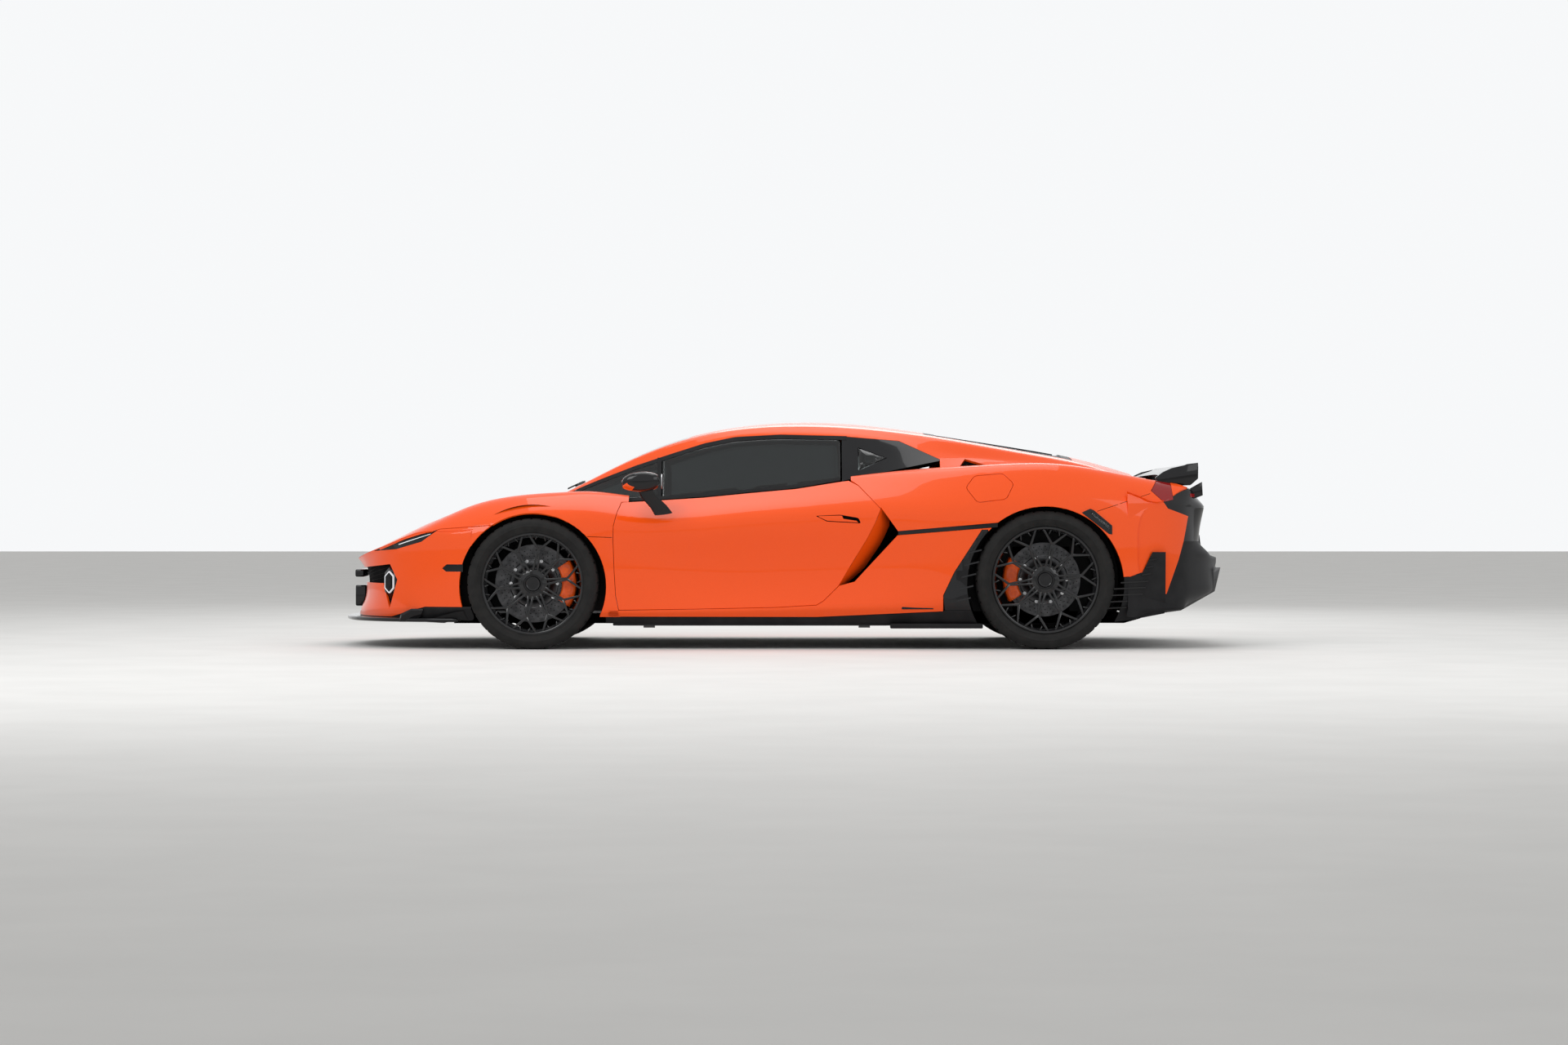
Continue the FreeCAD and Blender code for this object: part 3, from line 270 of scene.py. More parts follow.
def inward(bm, depth):
    # moves a whole sheet along its own normals, depth in mm towards the inside
    bm.normal_update()
    moves = {v: -v.normal * depth / 1000 for v in bm.verts}
    for v, move in moves.items():
        v.co += move


def addSheet(bm, other):
    mesh = bpy.data.meshes.new("part")
    other.to_mesh(mesh)
    bm.from_mesh(mesh)
    other.free()
    bpy.data.meshes.remove(mesh)


def insideOutline(x, y, points):
    inside = False
    for (x1, y1), (x2, y2) in zip(points, points[1:] + points[:1]):
        if (y1 > y) != (y2 > y) and x < (x2 - x1) * (y - y1) / (y2 - y1) + x1:
            inside = not inside
    return inside


def shrink(points, amount):
    # moves every edge of a closed outline inwards by amount, in the outline's own units
    area = sum(p[0] * q[1] - q[0] * p[1] for p, q in zip(points, points[1:] + points[:1]))
    turn = 1 if area > 0 else -1
    moved = []
    for i, point in enumerate(points):
        before = Vector(points[i - 1])
        here = Vector(point)
        after = Vector(points[(i + 1) % len(points)])
        a = (here - before).normalized()
        b = (after - here).normalized()
        na = Vector((-a.y, a.x)) * turn
        nb = Vector((-b.y, b.x)) * turn
        middle = na + nb
        if middle.length < 0.2:
            middle = na
        middle.normalize()
        reach = amount / max(0.4, middle.dot(na))
        moved.append(tuple(here + middle * reach))
    return moved


def soften(points, radius, steps=5):
    # rounds each corner of a closed outline
    made = []
    for i, point in enumerate(points):
        here = Vector(point)
        back = Vector(points[i - 1]) - here
        on = Vector(points[(i + 1) % len(points)]) - here
        reach = min(radius, back.length * 0.45, on.length * 0.45)
        start = here + back.normalized() * reach
        end = here + on.normalized() * reach
        for k in range(steps + 1):
            t = k / steps
            made.append(tuple(start * (1 - t) ** 2 + here * 2 * t * (1 - t) + end * t ** 2))
    return made


def cutOut(bm, outline, flat=(0, 2), keepInside=True):
    # cuts the sheet along an outline in mm seen along the third axis, and keeps one side of it
    a, b = flat
    points = [(p[0] / 1000, p[1] / 1000) for p in outline]
    lowA, highA = min(p[0] for p in points), max(p[0] for p in points)
    lowB, highB = min(p[1] for p in points), max(p[1] for p in points)
    if keepInside:
        far = [f for f in bm.faces
               if max(v.co[a] for v in f.verts) < lowA or min(v.co[a] for v in f.verts) > highA
               or max(v.co[b] for v in f.verts) < lowB or min(v.co[b] for v in f.verts) > highB]
        bmesh.ops.delete(bm, geom=far, context="FACES")
    for p, q in zip(points, points[1:] + points[:1]):
        if math.hypot(q[0] - p[0], q[1] - p[1]) < 1e-6:
            continue
        la, ha = min(p[0], q[0]), max(p[0], q[0])
        lb, hb = min(p[1], q[1]), max(p[1], q[1])
        near = []
        for f in bm.faces:
            us = [v.co[a] for v in f.verts]
            if max(us) < la or min(us) > ha:
                continue
            vs = [v.co[b] for v in f.verts]
            if max(vs) < lb or min(vs) > hb:
                continue
            near.append(f)
        if not near:
            continue
        edges = {e for f in near for e in f.edges}
        verts = {v for f in near for v in f.verts}
        spot, across = Vector((0, 0, 0)), Vector((0, 0, 0))
        spot[a], spot[b] = p
        across[a], across[b] = q[1] - p[1], p[0] - q[0]
        bmesh.ops.bisect_plane(bm, geom=near + list(edges) + list(verts), dist=1e-6,
                               plane_co=spot, plane_no=across.normalized())
    drop = []
    for f in bm.faces:
        c = f.calc_center_median()
        if insideOutline(c[a], c[b], points) != keepInside:
            drop.append(f)
    bmesh.ops.delete(bm, geom=drop, context="FACES")
    return bm


def cutAway(bm, outline, flat=(0, 2)):
    cutOut(bm, outline, flat, False)


def cutPlan(bm, outline):
    # cuts away what lies inside an outline seen from above, given with y positive for the left half
    cutAway(bm, [(x, -y) for x, y in outline], (0, 1))


def keepSide(bm, left=True):
    # bisects on the middle plane and keeps one half
    geom = bm.verts[:] + bm.edges[:] + bm.faces[:]
    bmesh.ops.bisect_plane(bm, geom=geom, dist=1e-6, plane_co=(0, 0, 0), plane_no=(0, 1, 0),
                           clear_outer=left, clear_inner=not left)


def rollEdge(bm, steps=((0.5, 0.25), (1.1, 1.2), (1.2, 12.0)), only=None):
    # folds the open rim of a sheet inwards, like a pressed panel; steps are mm outwards and mm inwards
    bmesh.ops.remove_doubles(bm, verts=bm.verts[:], dist=0.00005)
    loose = [v for v in bm.verts if not v.link_faces]
    bmesh.ops.delete(bm, geom=loose, context="VERTS")
    bm.normal_update()
    rim = [e for e in bm.edges if len(e.link_faces) == 1 and (only is None or only(e))]
    push, into = {}, {}
    for e in rim:
        f = e.link_faces[0]
        middle = (e.verts[0].co + e.verts[1].co) / 2
        out = (e.verts[1].co - e.verts[0].co).cross(f.normal)
        if out.dot(f.calc_center_median() - middle) > 0:
            out = -out
        for v in e.verts:
            push[v] = push.get(v, Vector((0, 0, 0))) + out.normalized()
            into[v] = -v.normal
    for v in push:
        if push[v].length > 0:
            push[v].normalize()
    root = {v: v for v in push}
    start = {v: v.co.copy() for v in push}
    for e in rim:
        e.smooth = False
    ring = rim
    for out, drop in steps:
        made = bmesh.ops.extrude_edge_only(bm, edges=ring)["geom"]
        verts = vertsIn(made)
        ringSet = set(verts)
        for v in verts:
            for e in v.link_edges:
                other = e.other_vert(v)
                if other in root and other not in ringSet:
                    root[v] = root[other]
                    break
        for v in verts:
            base = root[v]
            v.co = start[base] + push[base] * out / 1000 + into[base] * drop / 1000
        ring = [g for g in made if isinstance(g, bmesh.types.BMEdge)
                and g.verts[0] in ringSet and g.verts[1] in ringSet]
    return bm

# swells a plain closed form into a stuffed one

def bridged(bm, rows, capped=False):
    # closed rows of points, each joined to the next
    loops = []
    for row in rows:
        verts = [bmesh.ops.create_vert(bm, co=p)["vert"][0] for p in row]
        loops.append([bm.edges.new((p, q)) for p, q in zip(verts, verts[1:] + verts[:1])])
    for one, two in zip(loops, loops[1:]):
        bmesh.ops.bridge_loops(bm, edges=one + two)
    if capped:
        for end in (loops[0], loops[-1]):
            bmesh.ops.contextual_create(bm, geom=end)


def bevelled(bm, edges, width, segments=2):
    bmesh.ops.bevel(bm, geom=edges, offset=width / 1000, segments=segments, profile=0.5, affect="EDGES",
                    material=-1, clamp_overlap=True)


def foldsOf(edges, angle):
    return [e for e in edges if len(e.link_faces) == 2 and e.calc_face_angle(0) > angle]


def stud(bm, spot, wide, narrow, deep, segments):
    # a short round or hexagonal stub along the axle, in mm
    bmesh.ops.create_cone(bm, cap_ends=True, segments=segments, radius1=wide / 1000, radius2=narrow / 1000,
                          depth=deep / 1000, matrix=Matrix.Translation(Vector(spot) / 1000)
                          @ Matrix.Rotation(math.pi / 2, 4, "X"))


def beam(bm, stations, sides=4):
    # stations: (centre, half width vector, half height vector); rings joined end to end
    rings = []
    for centre, wide, high in stations:
        made = bmesh.ops.create_circle(bm, cap_ends=False, segments=sides, radius=1)["verts"]
        turn = math.pi / sides if sides == 4 else 0
        reach = math.sqrt(2) if sides == 4 else 1
        for v in made:
            c, s = v.co.x, v.co.y
            u = (c * math.cos(turn) - s * math.sin(turn)) * reach
            w = (c * math.sin(turn) + s * math.cos(turn)) * reach
            v.co = Vector(centre) + Vector(wide) * u + Vector(high) * w
        rings.append(made)
    edges = []
    for ring in rings:
        edges.append([e for e in {e for v in ring for e in v.link_edges}
                      if e.verts[0] in ring and e.verts[1] in ring])
    for one, two in zip(edges, edges[1:]):
        bmesh.ops.bridge_loops(bm, edges=one + two)
    for end in (edges[0], edges[-1]):
        bmesh.ops.contextual_create(bm, geom=end)
    return [v for ring in rings for v in ring]


def roundBox(bm, low, high, radius, segments=3):
    # a block in mm with rounded edges
    made = bmesh.ops.create_cube(bm, size=1)["verts"]
    for v in made:
        for k in range(3):
            v.co[k] = (low[k] if v.co[k] < 0 else high[k]) / 1000
    edges = list({e for v in made for e in v.link_edges})
    bevelled(bm, edges, radius, segments)


def plate(bm, outline, low, high, flat=(0, 2), bevel=0.0, segments=2):
    # a flat outline in mm given thickness from low to high along the third axis
    a, b = flat
    c = 3 - a - b
    verts = []
    for p in outline:
        co = Vector((0, 0, 0))
        co[a], co[b], co[c] = p[0] / 1000, p[1] / 1000, low / 1000
        verts.append(bmesh.ops.create_vert(bm, co=co)["vert"][0])
    face = bmesh.ops.contextual_create(bm, geom=verts)["faces"][0]
    made = bmesh.ops.extrude_face_region(bm, geom=[face])["geom"]
    top = vertsIn(made)
    step = Vector((0, 0, 0))
    step[c] = (high - low) / 1000
    bmesh.ops.translate(bm, verts=top, vec=step)
    everything = set(verts) | set(top)
    faces = [f for f in bm.faces if all(v in everything for v in f.verts)]
    bmesh.ops.recalc_face_normals(bm, faces=faces)
    if bevel:
        edges = [e for e in bm.edges if e.verts[0] in everything and e.verts[1] in everything
                 and e.calc_face_angle(0) > 0.5]
        bevelled(bm, edges, bevel, segments)


def ringProfile(bm, profile, centre, steps=96, closed=False):
    # spins (radius, offset) points in mm round an axle along Y
    verts = []
    for r, y in profile:
        verts.append(bmesh.ops.create_vert(bm, co=Vector((r / 1000, y / 1000, 0)))["vert"][0])
    edges = [bm.edges.new((p, q)) for p, q in zip(verts, verts[1:])]
    if closed:
        edges.append(bm.edges.new((verts[-1], verts[0])))
    bmesh.ops.spin(bm, geom=verts + edges, cent=(0, 0, 0), axis=(0, 1, 0), angle=math.tau, steps=steps,
                   use_merge=True, use_duplicate=False)
    near = set()
    grow = set(verts)
    while grow:
        near |= grow
        grow = {e.other_vert(v) for v in grow for e in v.link_edges} - near
    bmesh.ops.translate(bm, verts=list(near), vec=Vector(centre) / 1000)


# the body's smooth skin
hullRows = [
    (-2383, (700, 150), (760, 165), (790, 300), (790, 375), (760, 398), (480, 408), (0, 412)),
    (-2240, (770, 146), (830, 175), (858, 318), (858, 412), (802, 458), (500, 480), (0, 490)),
    (-2100, (820, 140), (880, 185), (905, 330), (905, 440), (835, 512), (520, 545), (0, 558)),
    (-1975, (852, 137), (912, 192), (934, 350), (930, 485), (842, 575), (530, 606), (0, 617)),
    (-1850, (880, 135), (940, 200), (958, 370), (950, 530), (850, 636), (540, 664), (0, 674)),
    (-1725, (895, 133), (955, 203), (970, 385), (961, 578), (840, 696), (550, 708), (0, 714)),
    (-1600, (905, 132), (966, 205), (980, 400), (968, 620), (830, 748), (560, 748), (0, 750)),
    (-1450, (912, 131), (968, 205), (986, 418), (976, 660), (828, 785), (575, 776), (0, 776)),
    (-1294, (915, 130), (968, 205), (988, 430), (978, 690), (830, 804), (590, 794), (0, 794)),
    (-1140, (915, 130), (966, 205), (980, 432), (970, 693), (822, 812), (605, 808), (0, 811)),
    (-1000, (915, 130), (962, 200), (962, 430), (955, 690), (808, 812), (620, 820), (0, 826)),
    (-850, (915, 130), (958, 200), (940, 424), (947, 668), (800, 795), (630, 806), (0, 814)),
    (-700, (915, 130), (957, 200), (925, 420), (944, 648), (797, 780), (640, 800), (0, 810)),
    (-450, (915, 130), (958, 204), (910, 408), (944, 650), (793, 792), (646, 810), (0, 818)),
    (-200, (915, 130), (960, 208), (905, 400), (945, 672), (792, 816), (650, 825), (0, 830)),
    (50, (915, 130), (962, 214), (908, 410), (949, 690), (790, 846), (650, 857), (0, 862)),
    (300, (915, 130), (965, 220), (915, 420), (955, 708), (792, 878), (650, 890), (0, 895)),
    (550, (922, 130), (972, 226), (940, 438), (970, 716), (815, 902), (645, 924), (0, 929)),
    (800, (930, 130), (980, 235), (975, 460), (985, 720), (850, 917), (640, 950), (0, 955)),
    (1080, (942, 130), (986, 238), (990, 478), (991, 742), (874, 942), (640, 957), (0, 960)),
    (1364, (950, 130), (990, 240), (998, 490), (992, 760), (885, 955), (640, 955), (0, 955)),
    (1590, (944, 138), (982, 248), (990, 505), (980, 760), (874, 934), (625, 934), (0, 934)),
    (1800, (930, 150), (965, 260), (975, 520), (960, 750), (850, 897), (600, 900), (0, 900)),
    (2100, (860, 200), (905, 300), (920, 540), (905, 720), (810, 850), (560, 850), (0, 850)),
    (2383, (800, 240), (840, 380), (850, 560), (840, 700), (780, 830), (540, 830), (0, 830)),
]
canopyRows = [
    (-1188, (640, 740), (600, 775), (540, 798), (0, 812)),
    (-1000, (735, 740), (645, 865), (590, 890), (0, 908)),
    (-800, (775, 735), (655, 948), (600, 988), (0, 1012)),
    (-550, (788, 740), (648, 1030), (590, 1084), (0, 1110)),
    (-250, (790, 760), (632, 1105), (565, 1150), (0, 1174)),
    (75, (787, 795), (622, 1120), (545, 1170), (0, 1201)),
    (400, (782, 840), (620, 1108), (540, 1158), (0, 1190)),
    (700, (775, 880), (615, 1060), (528, 1125), (0, 1154)),
    (950, (765, 890), (600, 1005), (512, 1086), (0, 1116)),
    (1300, (745, 895), (560, 972), (480, 1025), (0, 1062)),
    (1600, (700, 860), (520, 930), (440, 968), (0, 1005)),
    (1884, (620, 800), (480, 860), (410, 880), (0, 925)),
]


fairSet = {"steps": 3, "rounds": 5}


def fitted(bm, name, goal):
    # subdivides a coarse sheet and shifts its points until the smooth one passes through the goal points
    mesh = bpy.data.meshes.new(name)
    bm.to_mesh(mesh)
    bm.free()
    form = bpy.data.objects.new(name, mesh)
    bpy.context.scene.collection.objects.link(form)
    fair = form.modifiers.new("fair", "SUBSURF")
    fair.levels = fair.render_levels = fairSet["steps"]
    for _ in range(fairSet["rounds"]):
        mesh.update()
        bpy.context.view_layer.update()
        near = form.evaluated_get(bpy.context.evaluated_depsgraph_get()).data
        for k, want in enumerate(goal):
            mesh.vertices[k].co = mesh.vertices[k].co + (want - near.vertices[k].co)
    bpy.context.view_layer.update()
    fine = bpy.data.meshes.new_from_object(form.evaluated_get(bpy.context.evaluated_depsgraph_get()))
    bpy.data.objects.remove(form)
    return fine


def fairSkin(name, rows, creases):
    # a subdivided sheet that passes through the section points, full width, left side first
    count = len(rows[0]) - 1
    across = 2 * count - 1
    bm = bmesh.new()
    bmesh.ops.create_grid(bm, x_segments=len(rows) - 1, y_segments=across - 1, size=0.5)
    bm.verts.ensure_lookup_table()
    goal = []
    for v in bm.verts:
        i, j = v.index % len(rows), v.index // len(rows)
        row = rows[i]
        side = -1 if j < count else 1
        y, z = row[1 + (j if j < count else across - 1 - j)]
        goal.append(mm(row[0], side * y, z))
        v.co = goal[-1]
    sharp = bm.edges.layers.float.new("crease_edge")
    for e in bm.edges:
        ja, jb = (v.index // len(rows) for v in e.verts)
        if ja == jb:
            e[sharp] = creases[ja if ja < count else across - 1 - ja]
    bmesh.ops.recalc_face_normals(bm, faces=bm.faces[:])
    middle = max(bm.faces, key=lambda f: f.calc_center_median().z)
    if middle.normal.z < 0:
        bmesh.ops.reverse_faces(bm, faces=bm.faces[:])
    return fitted(bm, name, goal)


def treeOf(mesh):
    sheet = bmesh.new()
    sheet.from_mesh(mesh)
    tree = BVHTree.FromBMesh(sheet)
    sheet.free()
    return tree


hullSkin = fairSkin("hullForm", hullRows, (0.0, 0.55, 0.0, 0.35, 0.25, 0.0, 0.0))
canopySkin = fairSkin("canopyForm", canopyRows, (0.0, 0.5, 0.45, 0.0))
hullLookup = treeOf(hullSkin)
canopyLookup = treeOf(canopySkin)
print("stage: body skin", len(hullSkin.polygons), len(canopySkin.polygons))


def skinCopy(skin, side="left"):
    bm = bmesh.new()
    bm.from_mesh(skin)
    if side != "both":
        keepSide(bm, side == "left")
    return bm


def sideAt(x, z, lookup=None):
    # the skin's y on the left at x, z in mm
    hit = (lookup or hullLookup).ray_cast(Vector((x / 1000, -1.5, z / 1000)), Vector((0, 1, 0)))
    return hit[0].y * 1000 if hit[0] else -900


def topAt(x, y, lookup=None):
    hit = (lookup or hullLookup).ray_cast(Vector((x / 1000, y / 1000, 2)), Vector((0, 0, -1)))
    return hit[0].z * 1000 if hit[0] else 0


# outlines, mm, left side, seen from the side (x, z) or from above (x, y)
gap = 2.2
doorOutline = [(-838, 764), (-859, 709), (-876, 640), (-878, 573), (-872, 404), (-864, 277), (-848, 203),
               (-457, 209), (-35, 218), (178, 230), (214, 252), (292, 328), (356, 435), (440, 572), (482,
                                                                                                     655),
               (511, 729), (396, 852), (347, 878), (307, 873), (72, 835), (-173, 813), (-418, 789), (-660,
                                                                                                     774)]
seamLamp = [(-1294, 400), (-1500, 644), (-1780, 624), (-2120, 516), (-2150, 600)]
noseOutline = [(-2413, 60), (-1294, 60)] + seamLamp + [(-2413, 600)]
nosePlan = [(-2300, 0), (-2294, 130), (-2282, 260), (-2262, 360), (-2236, 455), (-2196, 550), (-2150, 632),
            (-2096, 706), (-2030, 775), (-1955, 832), (-1870, 882), (-1770, 926), (-1690, 952), (-1612,
                                                                                                 966),
            (-1612, 1200)]
noseCut = [(-2413, 0), (-2413, -1200)] + [(x, -y) for x, y in reversed(nosePlan)] + [(-2300, 20)]
tailPlan = [(1700, 1100), (1840, 968), (2000, 905), (2150, 790), (2270, 560), (2330, 300), (2353, 0)]
bonnetPlan = [(-2098, 0), (-2091, 300), (-2068, 520), (-1853, 575), (-1453, 600), (-1254, 600), (-1254, 0)]
intakeOutline = [(513, 732), (606, 602), (375, 352), (292, 330), (440, 572)]
slotOutline = [(600, 612), (1114, 656), (1114, 634), (600, 592)]
shellOutline = [(1560, 120), (1560, 330), (1735, 372), (1798, 377), (1867, 400), (1920, 505), (1990, 505),
                (1990, 120)]
tailLampOutline = [(1919, 824), (1958, 885), (2026, 878), (2034, 777), (1983, 764)]
flapOutline = soften([(952, 839), (999, 901), (1147, 913), (1201, 859), (1160, 779), (1011, 761)], 18)
frontArch = [(-1294 + 382 * math.cos(t * math.pi / 36), 326 + 382 * math.sin(t * math.pi / 36))
             for t in range(72)]
rearArch = [(1364 + 408 * math.cos(t * math.pi / 36), 335 + 408 * math.sin(t * math.pi / 36))
            for t in range(72)]


def fullPlan(half):
    # closes a half outline across the middle
    return half + [(x, -y) for x, y in reversed(half) if y]


def sidePanel(outline, skin=None, holes=(), planHoles=(), shrinkBy=gap, rounding=0, roll=True):
    bm = skinCopy(skin or hullSkin)
    edge = shrink(outline, shrinkBy)
    if rounding:
        edge = soften(edge, rounding)
    cutOut(bm, edge)
    for hole in holes:
        cutAway(bm, shrink(hole, -gap))
    for hole in planHoles:
        cutAway(bm, shrink(hole, -gap), (0, 1))
    return rollEdge(bm) if roll else bm


# doors
showPair(sidePanel(doorOutline), "doorSkin", orangePaint, "door")

# front wings, with the bonnet, windscreen and nose cut away
wingOutline = [(-838, 764), (-859, 709), (-876, 640), (-878, 573), (-872, 404), (-864, 277), (-848, 203),
               (-838, 166), (-1294, 166), (-1294, 400), (-1500, 644), (-1780, 624), (-2120, 516), (-2150,
                                                                                                   600),
               (-2150, 900), (-800, 900), (-800, 764)]
screenPlan = [(-1150, 0), (-1110, 400), (-1050, 545), (-800, 566), (-500, 548), (-480, 300), (-470, 0)]
bm = skinCopy(hullSkin)
cutOut(bm, shrink(wingOutline, gap))
cutPlan(bm, shrink([(-2413, -20)] + bonnetPlan[1:-1] + [(-1254, -20)], -gap))
cutPlan(bm, [(-1254, -20), (-1254, 612), (-1130, 640), (-1060, 700), (-850, 770), (-700, 776), (-700, -20)])
cutAway(bm, noseCut, (0, 1))
cutAway(bm, frontArch)
rollEdge(bm)
showBoth(bm, "frontWingSkins", orangePaint, "chassis", ["front_wings"])

# bonnet
bm = skinCopy(hullSkin, "both")
cutOut(bm, shrink(fullPlan(bonnetPlan), gap), (0, 1))
cutOut(bm, [(-2400, 380), (-1200, 380), (-1200, 1000), (-2400, 1000)], (0, 2))
rollEdge(bm)
showPiece(bm, "bonnetSkin", orangePaint, "bonnet_lid", ["bonnet"])

# rear quarters
quarterOutline = [(-905, 168), (178, 166), (834, 196), (834, 281), (891, 400), (1033, 620), (1064, 620),
                  (1064, 198), (1100, 150), (1900, 150), (2413, 150), (2413, 1000), (357, 1000), (357, 878),
                  (396, 852), (511, 729), (482, 655), (440, 572), (356, 435), (292, 328), (214, 252), (178,
                                                                                                       230),
                  (-35, 218), (-457, 209), (-848, 203), (-905, 203)]
deckIntake = [(912, 924), (965, 992), (1140, 942)]
bm = skinCopy(hullSkin)
cutOut(bm, shrink(quarterOutline, gap))
for hole in (intakeOutline, slotOutline, tailLampOutline, shellOutline):
    cutAway(bm, shrink(hole, -gap))
cutAway(bm, rearArch)
cutPlan(bm, [(300, -20), (300, 772), (755, 770), (1300, 742), (1600, 690), (1884, 600), (1884, -20)])
cutPlan(bm, tailPlan[1:] + [(2353, -20), (2600, -20), (2600, 1300), (1700, 1300)])
cutOut(bm, [(1900, 1000), (1900, 885), (2060, 862), (2150, 830), (2219, 744), (2200, 640), (2190, 560),
            (1990, 330), (1850, 150), (1850, 60), (2443, 60), (2443, 1000)], (0, 2), False)
right = twin(bm)
cutAway(bm, shrink(flapOutline, -gap))
rollEdge(bm)
rollEdge(right)
addSheet(bm, right)
showPiece(bm, "rearQuarterSkins", orangePaint, "chassis", ["rear_quarters"])

# fuel flap
bm = sidePanel(flapOutline)
showPiece(bm, "fuelFlapSkin", orangePaint, "fuel_door", ["fuel_flap"])
print("stage: lower panels")

# roof with the pillars, sails behind it
windowTop = [(-1118, 820), (-956, 886), (-838, 931), (-774, 956), (-593, 1016), (-411, 1074), (-249, 1108),
             (-10, 1121), (343, 1112), (616, 1090), (831, 992)]
bm = skinCopy(canopySkin)
cutOut(bm, windowTop + [(831, 1300), (-1300, 1300), (-1300, 800)])
cutPlan(bm, [(-1150, -20)] + screenPlan[1:-1] + [(-470, -20)])
cutOut(bm, [(-1300, 20), (755, 20), (755, -432), (831, -432), (831, -1000), (-1300, -1000)], (0, 1))
screenFoot = [(-1300, 0), (-1300, 560), (-1046, 560), (-1050, 542), (-1108, 398), (-1146, 0)]
cutPlan(bm, [(-1300, -20)] + screenFoot[1:-1] + [(-1146, -20)])
rollEdge(bm, only=lambda e: abs(e.verts[0].co.y) > 0.0001 or abs(e.verts[1].co.y) > 0.0001)
showBoth(bm, "roofSkin", orangePaint, "chassis", ["roof"])

bm = skinCopy(canopySkin)
cutOut(bm, [(831, 1300), (831, 992), (831, 700), (1900, 700), (1900, 1300)])
cutPlan(bm, shrink([(700, -20), (700, 430), (1364, 400), (1554, 360), (1554, -20)], -gap))
cutAway(bm, shrink(deckIntake, -gap))
rollEdge(bm)
showBoth(bm, "rearDeckSkins", orangePaint)

bm = skinCopy(canopySkin, "both")
cutOut(bm, shrink(fullPlan(screenFoot), -6), (0, 1))
cutOut(bm, [(-1300, 700), (-1000, 700), (-1000, 1000), (-1300, 1000)])
inward(bm, 5)
showPiece(bm, "screenFootTrim", blackSatin)

# glass
bm = skinCopy(canopySkin, "both")
cutOut(bm, shrink(fullPlan(screenPlan), gap), (0, 1))
rollEdge(bm, ((0.5, 0.5), (0.5, 5.0)))
showPiece(bm, "windscreenGlass", tintedGlass, "chassis", ["windscreen"])

doorGlass = [(-638, 773), (-418, 787), (-173, 811), (72, 833), (307, 871), (307, 1108), (-10, 1117),
             (-249, 1104),
             (-411, 1070), (-593, 1012), (-638, 997)]
bm = sidePanel(doorGlass, canopySkin, roll=False)
bmesh.ops.solidify(bm, geom=bm.faces[:], thickness=0.004)
showPair(bm, "doorGlass", tintedGlass, "door_glass")

frontSail = [(-1104, 826), (-956, 886), (-838, 931), (-774, 956), (-645, 996), (-645, 775), (-838, 764)]
quarterGlass = [(400, 1051), (548, 998), (400, 932)]
bm = sidePanel(frontSail, canopySkin, roll=False)
addSheet(bm, sidePanel(quarterGlass, canopySkin, roll=False))
bmesh.ops.solidify(bm, geom=bm.faces[:], thickness=0.004)
showBoth(bm, "fixedSideGlass", tintedGlass, "chassis", ["side_windows"])

quarterPanel = [(312, 873), (357, 884), (845, 985), (831, 992), (616, 1090), (343, 1112), (312, 1113)]
bm = sidePanel(quarterPanel, canopySkin, holes=[quarterGlass])
showBoth(bm, "quarterLightPanels", blackGloss, "chassis", ["quarter_panels"])
print("stage: roof and glass")

# nose and tail walls
def wallSheet(name, plan, rowsOf, creases):
    # columns follow a plan curve from the middle outwards; rowsOf(x, y) gives points in mm from the bottom
    rows = [rowsOf(x, y) for x, y in plan]
    count = len(rows[0])
    full = list(reversed(rows))
    full += [[(px, -py, pz) for px, py, pz in row] for row in rows[1:]]
    bm = bmesh.new()
    bmesh.ops.create_grid(bm, x_segments=len(full) - 1, y_segments=count - 1, size=0.5)
    bm.verts.ensure_lookup_table()
    goal = []
    for v in bm.verts:
        i, j = v.index % len(full), v.index // len(full)
        goal.append(Vector(full[i][j]) / 1000)
        v.co = goal[-1]
    sharp = bm.edges.layers.float.new("crease_edge")
    for e in bm.edges:
        ja, jb = (v.index // len(full) for v in e.verts)
        if ja == jb:
            e[sharp] = creases[ja]
    return fitted(bm, name, goal)


def facing(bm, direction):
    # turns a whole sheet to face one way
    bm.normal_update()
    if sum(f.normal.dot(Vector(direction)) * f.calc_area() for f in bm.faces) < 0:
        bmesh.ops.reverse_faces(bm, faces=bm.faces[:])


def noseRows(x, y):
    top = topAt(x + 3, y - 2)
    tuck = 62 * max(0.0, 1 - y / 900)
    made = []
    for px, pz in ((x + 6, 150), (x + tuck * 0.35, 205), (x + tuck, 280), (x + tuck * 0.9, top - 70)):
        wide = -sideAt(-1612, pz) / 966
        made.append((px, y * (1 + (wide - 1) * (y / 966) ** 4), pz))
    return made + [(x + 4, y, top - 6), (x + 2, y, top)]


noseSkin = wallSheet("noseForm", nosePlan[:-1], noseRows, (0, 0.4, 0, 0, 0.7, 0))
print("stage: nose and tail walls")

def alongPlan(points, reach=4):
    # true for an edge whose ends both lie within reach mm of the plan curve, where two sheets meet
    def test(e):
        for v in e.verts:
            x, y = v.co.x * 1000, abs(v.co.y) * 1000
            best = 1e9
            for p, q in zip(points, points[1:]):
                d = Vector(q) - Vector(p)
                t = max(0, min(1, (Vector((x, y)) - Vector(p)).dot(d) / d.length_squared))
                best = min(best, (Vector(p) + d * t - Vector((x, y))).length)
            if best > reach:
                return False
        return True
    return test


